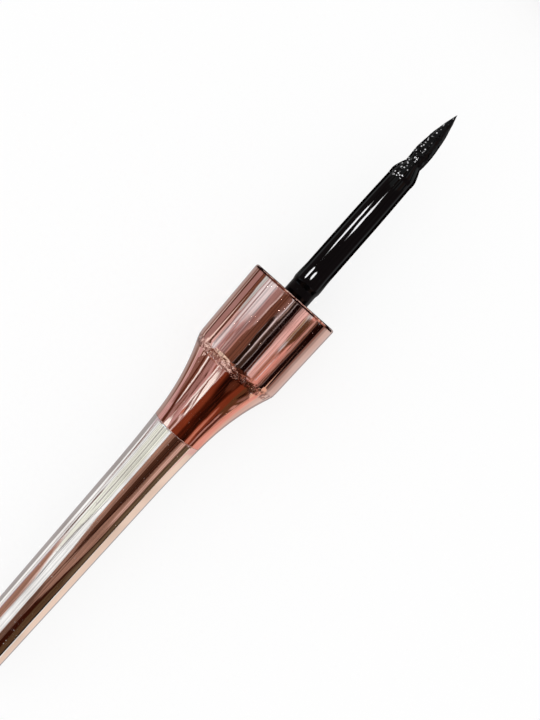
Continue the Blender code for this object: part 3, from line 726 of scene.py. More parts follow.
def make_sleeve():
    """The plated outer shell of the bottle, with a shoulder round the neck."""
    inner_radius = COLLAR_RADIUS - SLEEVE_WALL
    inner_shoulder = BOTTLE_SHOULDER_AT + SLEEVE_WALL
    outline = eased(
        (BOTTLE_SHOULDER_AT, SLEEVE_HOLE, SLEEVE_EDGE_ROUND),
        (BOTTLE_SHOULDER_AT, COLLAR_RADIUS, 2.0 * SLEEVE_EDGE_ROUND, 2 * FINE_STEPS),
        (SLEEVE_END_AT, COLLAR_RADIUS, SLEEVE_EDGE_ROUND),
        (SLEEVE_END_AT, inner_radius),
        (inner_shoulder, inner_radius),
        (inner_shoulder, SLEEVE_HOLE),
    )
    return turned("sleeve_shell", outline)


def make_base():
    """The base plug: a flange with a turned face, a skirt in the sleeve and a post under the vial."""
    flange_at = BASE_AT - BASE_FLANGE_THICKNESS
    face_radius = BASE_FLANGE_RADIUS - 2.0 * BASE_EDGE_ROUND
    outline = []
    for index, radius in enumerate(spread(0.0, face_radius, BASE_FACE_STEPS)):
        outline.append((BASE_AT - TURNING_MARK * (index % 2), radius))
    outline += eased(
        (BASE_AT, 0.0),
        (BASE_AT, BASE_FLANGE_RADIUS, BASE_EDGE_ROUND),
        (flange_at, BASE_FLANGE_RADIUS),
        (flange_at, BASE_SKIRT_RADIUS),
        (BASE_POST_AT, BASE_SKIRT_RADIUS, EASE),
        (BASE_POST_AT, BASE_SKIRT_BORE),
        (flange_at, BASE_SKIRT_BORE),
        (flange_at, BASE_POST_RADIUS),
        (BASE_POST_AT, BASE_POST_RADIUS),
        (BASE_POST_AT, 0.0),
    )[1:]
    return turned("base_cap", outline)


def connect(tree, made, inputs):
    """Sets inputs of a node, or links them where the value is another node's output."""
    for key, value in inputs.items():
        if isinstance(value, bpy.types.NodeSocket):
            tree.links.new(value, made.inputs[key])
        else:
            made.inputs[key].default_value = value


def node(tree, kind, inputs=None, **settings):
    """A shader node with its settings and inputs."""
    made = tree.nodes.new(kind)
    for key, value in settings.items():
        setattr(made, key, value)
    connect(tree, made, inputs or {})
    return made


def maths(tree, operation, first, second=0.0, third=0.0):
    """The output of a Math node."""
    inputs = {0: first, 1: second, 2: third}
    return node(tree, "ShaderNodeMath", inputs, operation=operation).outputs[0]


def times(tree, first, second):
    """The product of two numbers."""
    return maths(tree, "MULTIPLY", first, second)


def scaled(tree, colour, share):
    """A colour times a number."""
    inputs = {0: colour, "Scale": share}
    return node(tree, "ShaderNodeVectorMath", inputs, operation="SCALE").outputs[0]


def mixed(tree, factor, first, second):
    """The output of a mix of two colours."""
    inputs = {0: factor}
    for index, colour in ((6, first), (7, second)):
        inputs[index] = (*colour, 1.0) if isinstance(colour, tuple) else colour
    return node(tree, "ShaderNodeMix", inputs, data_type="RGBA", clamp_factor=True).outputs[2]


def ramped(tree, value, low, high, to_low=0.0, to_high=1.0, smooth=False):
    """Value from low to high, mapped to another range and clamped."""
    inputs = {"Value": value, "From Min": low, "From Max": high, "To Min": to_low, "To Max": to_high}
    kind = "SMOOTHSTEP" if smooth else "LINEAR"
    return node(tree, "ShaderNodeMapRange", inputs, interpolation_type=kind).outputs[0]


def millimetres(tree, along=1.0, across=1.0):
    """The object's own coordinates in millimetres, stretched along and across the axis."""
    coordinates = node(tree, "ShaderNodeTexCoord").outputs["Object"]
    scale = (along / MM, across / MM, across / MM)
    return node(tree, "ShaderNodeMapping", {"Vector": coordinates, "Scale": scale}).outputs[0]


def places(tree, even):
    """Place along the axis, Y, and height above the axis, from coordinates in millimetres."""
    parts = node(tree, "ShaderNodeSeparateXYZ", {0: even}).outputs
    place = maths(tree, "SUBTRACT", parts[0], RIM_X / MM)
    return place, parts[1], maths(tree, "SUBTRACT", parts[2], AXIS_Z / MM)


def near(tree, place, middle, core, reach, most=1.0, smooth=False):
    """Most within core of the middle, a place along the axis, and 0 beyond reach."""
    away = maths(tree, "ABSOLUTE", maths(tree, "SUBTRACT", place, middle))
    return ramped(tree, away, core, reach, most, 0.0, smooth)


def grain(tree, vector, scale, detail=3.0, roughness=0.5):
    """A noise texture's value."""
    inputs = {"Vector": vector, "Scale": scale, "Detail": detail, "Roughness": roughness}
    return node(tree, "ShaderNodeTexNoise", inputs).outputs[0]


def specks(tree, vector, scale, size, bare_share=0.72):
    """1 at scattered round specks, 0 elsewhere and in the bare share of the cells."""
    cells = node(tree, "ShaderNodeTexVoronoi", {"Vector": vector, "Scale": scale})
    close = ramped(tree, cells.outputs["Distance"], 0.0, size, 1.0, 0.0, smooth=True)
    chosen = node(tree, "ShaderNodeSeparateColor", {"Color": cells.outputs["Color"]})
    return times(tree, close, maths(tree, "GREATER_THAN", chosen.outputs[0], bare_share))


def bumps(tree, layers):
    """One Bump node after another, from (height, depth in millimetres) layers."""
    normal = None
    for height, depth in layers:
        inputs = {"Height": height, "Distance": depth * MM, "Strength": 1.0}
        if normal is not None:
            inputs["Normal"] = normal
        normal = node(tree, "ShaderNodeBump", inputs).outputs[0]
    return normal


def new_material(name):
    """An empty node material with its Principled shader."""
    material = bpy.data.materials.new(name)
    material.use_nodes = True
    tree = material.node_tree
    return material, tree, tree.nodes["Principled BSDF"]


def plated(name, bright, dull, edges, bright_edges=(), crumples=()):
    """Mirror plating on plastic: drawn lines, faint orange peel, dust, smudges and worn edges.

    Bright edges are places of a thin worn line. Crumples are (place, reach, depth) of fine lumps,
    over which a darker rose is painted in patches as shade.
    """
    material, tree, shader = new_material(name)
    even = millimetres(tree)
    drawn = millimetres(tree, PLATING_STRETCH)
    place = places(tree, even)[0]
    cloud = grain(tree, even, 0.16, 2.0)
    lines = grain(tree, drawn, 5.0, 4.0, 0.6)
    peel = grain(tree, even, 0.55, 1.0)
    wave = grain(tree, drawn, 0.8, 1.0)
    dust = specks(tree, even, 1.5, 0.13)
    chips = grain(tree, even, 2.2, 5.0, 0.7)
    colour = mixed(tree, ramped(tree, cloud, 0.35, 0.75), bright, dull)
    colour = mixed(tree, times(tree, dust, 0.5), colour, BARE_METAL)
    worn = 0.0
    for edge in edges:
        worn = maths(tree, "MAXIMUM", worn, near(tree, place, edge, 0.0, EDGE_WEAR_REACH))
    wear = ramped(tree, times(tree, worn, chips), 0.36, 0.52)
    for edge in bright_edges:
        line_wear = near(tree, place, edge, BRIGHT_EDGE_CORE, BRIGHT_EDGE_REACH, 0.8)
        wear = maths(tree, "MAXIMUM", wear, line_wear)
    colour = mixed(tree, wear, colour, BARE_METAL)
    smudge = ramped(tree, grain(tree, even, 0.32, 4.0, 0.6), 0.52, 0.80, 0.035, 0.13)
    rough = maths(tree, "ADD", smudge, times(tree, lines, 0.03))
    rough = maths(tree, "ADD", rough, times(tree, wear, 0.15))
    layers = [(wave, PLATING_WAVE), (peel, PLATING_PEEL), (lines, PLATING_LINES), (dust, PLATING_DUST)]
    for middle, reach, depth in crumples:
        close = near(tree, place, middle, 0.4 * reach, reach, smooth=True)
        lumps = maths(tree, "SUBTRACT", grain(tree, even, 1.25, 2.0), 0.5)
        layers.append((times(tree, close, lumps), depth))
        # Painted shade: a darker rose in patches over the lumps
        painted_shade = ramped(tree, grain(tree, even, 1.7, 2.0), 0.40, 0.56, 0.0, 0.85)
        colour = mixed(tree, times(tree, close, painted_shade), colour, ROSE_PAINTED_SHADE)
    normal = bumps(tree, layers)
    connect(tree, shader, {"Base Color": colour, "Roughness": rough, "Normal": normal, "Metallic": 1.0})
    return material


def painted_glints(tree, even):
    """1 at the painted highlights, bright specks on the wet ink at the brush's upper left, 0 elsewhere."""
    place, y, height = places(tree, even)
    mask = specks(tree, even, PAINTED_GLINT_SCALE, PAINTED_GLINT_SIZE, PAINTED_GLINT_BARE_SHARE)
    for value, limits in ((y, PAINTED_GLINTS_SIDES), (height, PAINTED_GLINTS_HEIGHTS), (place, PAINTED_GLINTS_PLACES)):
        mask = times(tree, mask, ramped(tree, value, *limits))
    return times(tree, mask, maths(tree, "LESS_THAN", place, TIP_AT))


def gloss_plastic(name, base, worn_colour):
    """Glossy black moulding with fine scuffs, dust and a faint ripple, and painted highlights where it
    meets the brush.
    """
    material, tree, shader = new_material(name)
    even = millimetres(tree)
    drawn = millimetres(tree, GLOSS_STRETCH)
    scuffs = ramped(tree, grain(tree, drawn, 9.0, 4.0, 0.6), 0.62, 0.74)
    dust = specks(tree, even, 1.6, 0.07)
    colour = mixed(tree, times(tree, scuffs, 0.35), base, worn_colour)
    colour = mixed(tree, times(tree, dust, 0.4), colour, MOULDED_GREY)
    # Painted highlights: white specks near the brush's upper left
    colour = mixed(tree, painted_glints(tree, even), colour, PAINTED_GLINT)
    rough = ramped(tree, grain(tree, even, 0.5, 4.0), 0.35, 0.80, 0.015, 0.045)
    rough = maths(tree, "ADD", rough, times(tree, scuffs, 0.05))
    normal = bumps(tree, [(grain(tree, drawn, 0.9, 1.0), GLOSS_RIPPLE), (dust, GLOSS_DUST)])
    connect(tree, shader, {"Base Color": colour, "Roughness": rough, "Normal": normal, "IOR": GLOSS_IOR})
    return material


def wet_ink(name):
    """Wet ink over hair: black, glossy and broken up by the hairs and small bubbles, with painted
    highlights in white specks on its upper left.
    """
    material, tree, shader = new_material(name)
    even = millimetres(tree)
    strands = grain(tree, millimetres(tree, WET_STRETCH), 9.0, 3.0, 0.6)
    lumps = grain(tree, even, 1.5, 1.0)
    beads = node(tree, "ShaderNodeTexVoronoi", {"Vector": even, "Scale": 1.3}).outputs["Distance"]
    colour = mixed(tree, ramped(tree, strands, 0.45, 0.80), INK, WET_GREY)
    # Painted highlights: white specks on the brush's upper left
    colour = mixed(tree, painted_glints(tree, even), colour, PAINTED_GLINT)
    rough = ramped(tree, lumps, 0.30, 0.75, 0.02, 0.06)
    normal = bumps(tree, [(lumps, WET_LUMPS), (beads, WET_BEADS), (strands, WET_STRANDS)])
    connect(tree, shader, {"Base Color": colour, "Roughness": rough, "Normal": normal, "IOR": WET_IOR})
    return material


def moulded(name, base, other, rough_low, rough_high, grain_depth):
    """Matt moulded plastic or rubber: fine spark-eroded grain, flow marks and dust."""
    material, tree, shader = new_material(name)
    even = millimetres(tree)
    flow = grain(tree, even, 0.35, 3.0)
    fine = grain(tree, even, 9.0, 3.0, 0.7)
    dust = specks(tree, even, 1.3, 0.09)
    colour = mixed(tree, ramped(tree, flow, 0.35, 0.75), base, other)
    colour = mixed(tree, times(tree, dust, 0.3), colour, NATURAL_SHADE)
    rough = ramped(tree, fine, 0.30, 0.75, rough_low, rough_high)
    normal = bumps(tree, [(fine, grain_depth), (flow, MOULD_FLOW)])
    connect(tree, shader, {"Base Color": colour, "Roughness": rough, "Normal": normal})
    return material


def turned_steel(name):
    """Machined steel with fine turning marks round its axis."""
    material, tree, shader = new_material(name)
    rings = grain(tree, millimetres(tree, 1.0, 0.02), 14.0, 3.0, 0.6)
    painted_shade = grain(tree, millimetres(tree), 0.3, 3.0)
    colour = mixed(tree, ramped(tree, painted_shade, 0.40, 0.75), STEEL, STEEL_DULL)
    rough = ramped(tree, rings, 0.30, 0.70, 0.22, 0.40)
    normal = bumps(tree, [(rings, STEEL_RINGS)])
    connect(tree, shader, {"Base Color": colour, "Roughness": rough, "Normal": normal, "Metallic": 1.0})
    return material


def dress(obj, material, body, slot, *nodes):
    """Gives a piece its material and the body it rides on, and hides the nodes it stands for. Its slot is
    not used.
    """
    obj.data.materials.append(material)
    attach(obj, body)
    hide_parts(*nodes)


# Light: a plain white world, and a painted tent, table and cards that only polished surfaces show.
# A band is its tone, the softness of its sides, and then knots along the axis: at each place, where
# its two sides lie. Sides are angles round the axis, and on the table millimetres of Y.
TENT_RADIUS = 250.0
TENT_HALF_ANGLE = 91.0
TENT_SEAMS = (-420.0, -90.0, -2.0, 70.0, 900.0)
SHEET_STEPS = 60
TENT_FADE = 3.0
COLLAR_FADE = 0.6
COLLAR_TURN = 4.0
TABLE_HEIGHT = 0.4
TABLE_HALF_WIDTH = 420.0
TABLE_BACK_AT = -110.0
TABLE_FRONT_AT = 42.0
CARD_RADIUS = 15.0
CARD_HALF_ANGLE = 88.0
CARD_BACK_AT = -31.5
CARD_FRONT_AT = -22.3
LIP_CARD_RADIUS = 8.8
LIP_CARD_BACK_AT = -0.45
LIP_CARD_FRONT_AT = 0.6
CARD_FADE = 0.25
CARD_TURN = 4.0

# The painted bands' sways, each its scale along and across the axis and its degrees, and the share
# of their light that is left in streaks
TENT_SWAYS = ((0.06, 0.012, 1.2), (0.25, 0.03, 1.5))
BELL_SWAYS = ((0.6, 0.12, 1.2), (1.6, 0.5, 0.7))
LIP_SWAYS = ((0.6, 0.3, 6.0), (1.6, 1.2, 4.0))
STREAK_SHADE = 0.68
FINE_LINE_SHADE = 0.60
BELL_STREAK_LIGHT = 1.7

# Tones of the painted light, linear
WHITE = (1.14, 1.16, 1.18)
ICE = (0.97, 1.18, 1.38)
GLINT = (1.25, 1.60, 1.75)
PEARL = (0.85, 0.84, 0.90)
CREAM = (1.06, 1.08, 0.98)
FOG = (0.84, 0.87, 0.89)
ASH = (0.74, 0.70, 0.70)
MIST = (0.70, 0.97, 1.08)
SLATE = (0.48, 0.54, 0.62)
GREY = (0.46, 0.43, 0.43)
PETAL = (0.98, 0.80, 0.84)
PALE = (0.95, 0.73, 0.61)
SHELL = (0.80, 0.56, 0.50)
BLUSH = (0.66, 0.50, 0.55)
CORAL = (0.90, 0.53, 0.49)
SALMON = (0.79, 0.46, 0.38)
ROSY = (0.60, 0.40, 0.37)
COPPER = (0.60, 0.27, 0.20)
STRAW = (0.60, 0.50, 0.34)
TAUPE = (0.42, 0.30, 0.31)
ROSEWOOD = (0.43, 0.22, 0.16)
DUSK = (0.27, 0.17, 0.15)
CLAY = (0.29, 0.13, 0.09)
KHAKI = (0.155, 0.095, 0.055)
RUST = (0.21, 0.050, 0.022)
BROWN = (0.20, 0.10, 0.07)
OLIVE = (0.122, 0.062, 0.03)
UMBER = (0.09, 0.032, 0.018)
CHARCOAL = (0.05, 0.034, 0.027)
OXBLOOD = (0.045, 0.008, 0.003)
SOOT = (0.019, 0.010, 0.006)
BLACK = (0.011, 0.003, 0.002)
LAMP = (95.0, 95.0, 97.0)

# Bands of the tent, from the bottom layer to the top one
COLLAR_BANDS = (
    (BROWN, 2, (-94, 88, 110), (-26, 87.5, 110), (-4, 90, 110)),
    (PETAL, 2, (-94, 81, 88), (-26, 81, 88)),
    (MIST, 1.5, (-27, 81, 87), (-4, 80, 92)),
    (SLATE, 1.2, (-44, 76, 80.5), (-34, 76.5, 80.5)),
    (TAUPE, 0.8, (-36, 77.5, 80.5), (-4, 77.5, 80)),
    (BLUSH, 1.5, (-94, 60, 67), (-38, 60, 66.5), (-30, 65, 68)),
    (TAUPE, 0.7, (-34, 68.5, 70.5), (-4, 68.2, 70.4)),
    (BLUSH, 1.5, (-94, 46, 63), (-36, 46, 62), (-29, 48, 58)),
    (CLAY, 0.8, (-41.5, 56.5, 59.5), (-35, 57, 59)),
    (CLAY, 0.8, (-46, 54, 57), (-42, 54, 56)),
    (PEARL, 0.8, (-46, 51.5, 54), (-37, 52, 54)),
    (CLAY, 0.7, (-35.2, 51.8, 54), (-33.2, 52, 54)),
    (TAUPE, 2.5, (-94, 36, 48), (-40, 36, 47), (-28, 34, 46), (-4, 28, 46)),
    (BLUSH, 2.5, (-28, 44, 48), (-4, 43.5, 48.5)),
    (BROWN, 1.2, (-94, 13, 40.5), (-38, 13, 38.5), (-28, 13, 33), (-4, 4, 30)),
    (ROSY, 0.6, (-46, 39.5, 41.5), (-38, 38, 40.5), (-29, 33.5, 35.5)),
    (PEARL, 0.6, (-28.5, 30.8, 33.4), (-20, 30.6, 33), (-12, 28, 30.5)),
    (SOOT, 1, (-94, 3.5, 13), (-36, 3.5, 13.5), (-22, 4.5, 12.5), (-20.5, 5.5, 10.5)),
    (DUSK, 1.5, (-20, 3, 11), (-4, 2, 10)),
    (CHARCOAL, 1, (-94, -11, 3.5), (-30, -9, 1), (-4, -9, 0)),
    (GREY, 0.6, (-45, 1.5, 3.5), (-34, -1, 0.6), (-28, -0.2, 1.2), (-18, -3, -1), (-12, -3, -0.8)),
    (BLACK, 1, (-94, -22, -10), (-28, -21, -9.5), (-4, -19, -9.5)),
    (BLACK, 0.5, (-24, -5.5, -3.6), (-12, -5.8, -3.6)),
    (UMBER, 1.5, (-94, -31, -21.5), (-36, -28, -21.5), (-4, -23, -18.5)),
    (PETAL, 0.8, (-94, -46, -31.5), (-45, -46, -31), (-36, -46, -28.4), (-25, -46, -25.5),
     (-4, -46, -23.8)),
    (SALMON, 0.8, (-44, -38, -36.6), (-28, -38, -36.8)),
    (SALMON, 1.5, (-94, -52, -44), (-30, -52, -44)),
    (CORAL, 2, (-94, -70, -53), (-4, -70, -57)),
    (COPPER, 1.2, (-94, -53.5, -50.5), (-36, -53.5, -51), (-31, -56, -52)),
    (CLAY, 1.2, (-32, -58, -51), (-24, -57, -51)),
    (STRAW, 0.8, (-26, -50.8, -46), (-12, -50.4, -45.6)),
    (CLAY, 0.5, (-24, -44, -42.6), (-13, -44.2, -42.2)),
    (OLIVE, 1.2, (-26.5, -57, -51.2), (-22, -63.5, -51), (-11, -64, -51)),
    (UMBER, 0.8, (-27, -66.4, -64.6), (-11, -66.6, -64)),
    (CLAY, 1.2, (-94, -72, -67.5), (-38, -71, -67.5)),
    (ROSY, 1.5, (-94, -76, -72), (-44, -76, -71.5), (-34, -72, -67.5), (-4, -71.5, -67)),
    (BROWN, 1.5, (-94, -79, -75.5), (-34, -78, -71.5), (-4, -79, -71)),
    (BLACK, 2, (-94, -100, -78), (-4, -100, -77)),
)
HANDLE_BANDS = (
    (CREAM, 4, (-152, 50, 62), (-135, 36, 70), (-84, 14, 80)),
    (SHELL, 4, (-230, 40, 84), (-170, 42, 84), (-146, 66, 80)),
    (ROSEWOOD, 3, (-230, 50, 81), (-180, 50, 81), (-160, 58, 80), (-150, 70, 80)),
    (BLUSH, 1.5, (-190, 80.5, 86), (-146, 79.5, 85)),
    (DUSK, 1.5, (-146, 76, 84), (-118, 75, 84)),
    (CLAY, 1.2, (-230, 46, 50.5), (-190, 46.5, 50.5), (-172, 45, 47)),
    (FOG, 1, (-184, 17, 20.5), (-160, 13, 17), (-152, 12, 16), (-149, 16, 24)),
    (GREY, 2, (-170, 33.5, 36.5), (-155, 42.5, 47), (-142, 42, 48), (-130, 30, 34), (-120, 24, 27)),
    (GREY, 2, (-129, 50.5, 56), (-84, 51, 55)),
    (ROSEWOOD, 1.2, (-230, -100, -5), (-180, -100, -2.5), (-150, -100, 1.5), (-130, -100, 12),
     (-84, -100, 15)),
    (BROWN, 2, (-230, -30, -6), (-182, -28, -5), (-168, -24, -4)),
    (UMBER, 2.5, (-150, -18, -12), (-140, -24, -8), (-120, -34, -6), (-84, -46, -8)),
    (ROSEWOOD, 2, (-178, -35, -22), (-165, -44, -13), (-150, -57, -18), (-130, -66, -27),
     (-84, -70, -48)),
    (OXBLOOD, 1.2, (-168, -13.5, -10.5), (-150, -20, -16), (-130, -29.5, -24.5), (-84, -50, -43)),
    (SALMON, 4, (-130, -58, -50), (-115, -62, -48), (-84, -66, -54)),
    (OLIVE, 2, (-230, -84, -50), (-172, -84, -48), (-158, -84, -57), (-150, -84, -63), (-84, -84, -68)),
    (KHAKI, 3, (-160, -92, -64), (-135, -92, -70), (-84, -92, -72)),
    (OXBLOOD, 2.5, (-230, -54, -28), (-185, -52, -29), (-172, -49, -34)),
    (OXBLOOD, 2, (-178, -50, -38), (-160, -57, -47), (-150, -63, -56), (-132, -69, -66)),
    (CHARCOAL, 1.5, (-230, -100, -80), (-172, -100, -82), (-158, -100, -86)),
)
FAR_BANDS = (
    (GREY, 3, (-20, 64, 84), (930, 64, 84)),
    (BROWN, 2, (-20, 46, 56), (930, 42, 52)),
    (FOG, 3, (-20, 18, 30), (930, 18, 30)),
    (CLAY, 2, (-20, -4, 8), (930, -8, 6)),
    (OXBLOOD, 1.5, (-20, -22, -12), (930, -22, -10)),
    (SALMON, 3, (-20, -58, -36), (930, -56, -34)),
    (BLACK, 2, (-20, -76, -66), (930, -76, -66)),
)
ROD_BANDS = (
    (LAMP, 1, (24, 43.5, 45.5), (29, 40, 50), (36, 38.5, 52), (50, 39, 52), (56, 43, 46)),
    (LAMP, 1, (35, 4, 8), (40, 0.5, 13.5), (54, 0, 14), (60, 3, 11), (65, 5, 8)),
    (GREY, 2, (40, -60, -48), (54, -60, -48)),
)

# Bands of the two cards and of the table
BELL_BANDS = (
    (UMBER, 4, (-31.2, 62, 76), (-28, 72, 84), (-22.3, 74, 90)),
    (BLUSH, 2, (-31.5, 77, 92), (-29.6, 79, 92), (-28.6, 83, 92)),
    (BROWN, 2, (-27.5, 71, 84), (-25, 69, 78), (-22.3, 64, 74)),
    (DUSK, 2, (-27, 84, 92), (-24, 77, 92), (-22.3, 74, 92)),
    (OXBLOOD, 1.2, (-29, 77, 80), (-25, 74, 77), (-22.3, 68, 71)),
    (GLINT, 0.8, (-28.6, 69.5, 70.5), (-27, 66.5, 70.5), (-25, 63.5, 67.5), (-22.3, 58, 62.5)),
    (UMBER, 1.5, (-28.4, 63, 66), (-27, 60, 64), (-25, 57, 61), (-22.3, 52, 56)),
    (BROWN, 1.5, (-29.5, 54, 58), (-28.5, 53, 57), (-27.2, 51, 54)),
    (UMBER, 1, (-27.4, 44.5, 46.5), (-26.5, 43.5, 46.5), (-25.5, 43.5, 45)),
    (UMBER, 1, (-25.3, 42.5, 44), (-25, 41.5, 45), (-24.5, 42.5, 44)),
    (BLUSH, 1.5, (-31.5, 34, 41), (-29, 36, 46), (-27.5, 36, 42), (-25, 32, 41), (-22.3, 26, 41)),
    (GLINT, 1.5, (-31.5, 40.5, 60), (-30.8, 41, 58), (-30.1, 46, 54)),
    (PEARL, 0.8, (-30.2, 50, 54), (-29.2, 50.5, 52)),
    (GLINT, 0.8, (-28.8, 36, 38), (-27.4, 34, 38), (-26, 30.5, 35.5), (-24.5, 28.7, 32), (-23, 26.5, 29)),
    (BROWN, 1.5, (-31.5, 26.5, 33), (-30.2, 27.5, 32.5), (-29.7, 29, 31)),
    (PEARL, 1, (-31.5, 21, 24.5), (-30, 21, 25), (-29.4, 24, 32)),
    (COPPER, 1.5, (-29.3, 28, 35), (-28.6, 30, 36)),
    (UMBER, 0.9, (-29.1, 25, 28), (-28.4, 28, 32), (-27.5, 31.5, 35)),
    (GLINT, 0.9, (-29.2, 18.5, 23), (-28.4, 20, 23.5), (-27.6, 25, 30), (-26.8, 28.5, 31)),
    (BROWN, 0.8, (-28.2, 18.5, 20.5), (-27.4, 21, 25), (-26.5, 26, 29.5), (-25.5, 28, 30.5),
     (-24.9, 28.5, 30)),
    (GLINT, 0.8, (-28.6, 14.5, 16), (-27.4, 14, 20), (-26.4, 13.5, 25.5), (-25.4, 13, 27), (-24.3, 18, 25)),
    (CLAY, 0.6, (-24.8, 17, 18.5), (-23.2, 16.5, 18)),
    (CLAY, 1, (-24.6, 33, 35.5), (-24, 33, 36), (-23.3, 34, 35.5)),
    (RUST, 0.8, (-31.5, -42, 20), (-28.5, -42, 16), (-26, -42, 13), (-24, -42, 11), (-22.3, -42, 9)),
    (PEARL, 0.6, (-25.4, 11.2, 13), (-23.2, 12.5, 14)),
    (OXBLOOD, 5, (-31.5, -42, -4), (-27, -40, -3), (-24, -42, 3), (-22.3, -46, 5)),
    (BLACK, 5, (-31.5, -39, -22), (-27, -35, -14), (-24.6, -22, 0), (-22.3, -50, 4)),
    (UMBER, 2.5, (-25.2, -24, -18), (-24.4, -31, -14), (-23.6, -29, -20)),
    (RUST, 2.5, (-31.5, -62, -39), (-26, -56, -33), (-22.3, -50, -35)),
    (COPPER, 2, (-31.5, -54, -41), (-28.4, -48, -39.5), (-26.5, -43, -39)),
    (OXBLOOD, 1, (-29.8, -58.5, -55.5), (-28, -58.5, -55), (-26.4, -57.5, -54.5)),
    (SALMON, 2.5, (-31.5, -95, -77), (-26, -95, -77), (-22.3, -95, -77)),
    (OLIVE, 2.5, (-26.6, -74, -54), (-24.5, -76, -48), (-22.3, -76, -46)),
    (UMBER, 1.5, (-31.5, -78, -67), (-28, -76, -64), (-26.2, -72, -64)),
    (ROSY, 0.7, (-31.5, -67.5, -64), (-29, -64.8, -61.2), (-27, -63, -60), (-26.3, -62, -60.4)),
    (ROSY, 1.2, (-25.3, -70, -66), (-24.7, -75, -67), (-24.1, -76, -72)),
    (BLACK, 1.5, (-24.2, -58, -55), (-23.4, -63, -57), (-22.6, -62, -56)),
    (DUSK, 1.2, (-24.2, -66, -62), (-23.2, -73, -65), (-22.3, -74, -69)),
)
LIP_BANDS = (
    (BLACK, 4, (-1, 52, 90), (1, 52, 90)),
    (CLAY, 6, (-1, 12, 40), (1, 12, 40)),
    (BLACK, 4, (-1, -26, 6), (1, -26, 6)),
    (SALMON, 6, (-1, -56, -30), (1, -56, -30)),
    (BLACK, 4, (-1, -90, -62), (1, -90, -62)),
)
TABLE_BANDS = (
    (GREY, 1.5, (-110, 0, 27), (-34, 0, 27), (-24, 0, 20), (4, 0, 24)),
    (TAUPE, 8, (-110, 62, 420), (-46, 120, 420)),
    (BROWN, 3, (-60, 60, 95), (-42, 46, 60)),
    (BLUSH, 2, (-42, 40, 50), (-34, 26, 42), (-24, 24, 32)),
    (BROWN, 2, (-31, 19, 24), (-22, 15, 22)),
    (TAUPE, 1.5, (-24, 26, 130), (4, 26, 130)),
    (UMBER, 1.2, (-20, 23.5, 28), (4, 22.5, 29)),
    (UMBER, 4, (-22, 88, 130), (4, 88, 130)),
    (DUSK, 0.8, (-22, 18, 21), (4, 17.5, 20.5)),
    (BROWN, 3, (-22, 120, 420), (4, 120, 420)),
    (PALE, 1, (-110, -420, 0), (-31, -420, 0), (-20, -420, 0)),
    (CORAL, 2, (-62, -120, -90), (-40, -50, -42), (-31, -42, -8), (-28.5, -38, -6)),
    (ASH, 2, (-27, -30, 0), (-22, -30, 0)),
    (ASH, 1, (-22, -28, -1), (4, -28, -1)),
    (GREY, 3, (-22, -44, -27), (4, -42, -27)),
    (DUSK, 5, (-22, -64, -42), (4, -60, -40)),
    (BLACK, 6, (-24, -420, -62), (4, -420, -58)),
    (BLACK, 20, (-58, -420, -230), (-24, -420, -160)),
    # The object's own shadow on the table, painted into the table's reflection
    (GREY, 0.6, (-110, -9.5, 6.5), (-34, -9.5, 7.5), (-20, -12.5, 10.5), (4, -12.5, 11)),
    (BLACK, 3, (4, -28, 28), (40, -28, 28)),
)


def side_of_band(tree, along, knots, index):
    """Where one side of a band lies at each place: straight from knot to knot."""
    value = knots[0][index]
    for first, last in zip(knots, knots[1:]):
        rise = ramped(tree, along, first[0], last[0], 0.0, last[index] - first[index])
        value = maths(tree, "ADD", value, rise)
    return value


def painted(tree, across, along, colour, bands, fade):
    """Paints bands over a colour, one over another. They fade over that length at their ends."""
    for tone, blur, *knots in bands:
        start, end = knots[0][0], knots[-1][0]
        low = maths(tree, "SUBTRACT", across, side_of_band(tree, along, knots, 1))
        high = maths(tree, "SUBTRACT", side_of_band(tree, along, knots, 2), across)
        mask = ramped(tree, low, -blur, blur, smooth=True)
        mask = times(tree, mask, ramped(tree, high, -blur, blur, smooth=True))
        mask = times(tree, mask, ramped(tree, along, start - fade, start + fade, smooth=True))
        mask = times(tree, mask, ramped(tree, along, end - fade, end + fade, 1.0, 0.0))
        colour = mixed(tree, mask, colour, tone)
    return colour


def glowing(obj, painter):
    """Gives a stage object a glow of the colour that painter returns, seen in polish alone."""
    material, tree, shader = new_material(obj.name)
    tree.nodes.remove(shader)
    glow = node(tree, "ShaderNodeEmission", {"Color": painter(tree)})
    tree.links.new(glow.outputs[0], tree.nodes["Material Output"].inputs["Surface"])
    material.cycles.emission_sampling = "NONE"
    obj.data.materials.append(material)
    for kind in ("camera", "diffuse", "transmission", "shadow", "volume_scatter"):
        setattr(obj, "visible_" + kind, False)


def flat_sheet(name, back, front, half_width, height):
    """A level sheet between two values of X, in metres."""
    form = bmesh.new()
    corners = ((back, -half_width), (front, -half_width), (front, half_width), (back, half_width))
    form.faces.new([form.verts.new((x, y, height)) for x, y in corners])
    return finished_object(name, form)


def curved_sheet(name, radius, half_angle, back, front):
    """A sheet over the axis, as far as half an angle in degrees to either side, between two places."""
    form = bmesh.new()
    rows = []
    for angle in spread(-half_angle, half_angle, SHEET_STEPS):
        turn = math.radians(angle)
        rows.append([form.verts.new(point(place, radius, turn)) for place in (back, front)])
    for low, high in zip(rows, rows[1:]):
        form.faces.new((low[0], low[1], high[1], high[0]))
    return finished_object(name, form)


def round_axis(tree, sways, turn):
    """Angle round the axis, in degrees, turned and swayed a little, and place along it."""
    place, y, height = places(tree, millimetres(tree))
    angle = maths(tree, "ARCTAN2", y, height)
    angle = maths(tree, "MULTIPLY_ADD", angle, 180.0 / math.pi, turn)
    for along, across, degrees in sways:
        sideways = grain(tree, millimetres(tree, along, across), 1.0, 1.0)
        angle = maths(tree, "ADD", angle, ramped(tree, sideways, 0.2, 0.8, -degrees, degrees))
    return angle, place


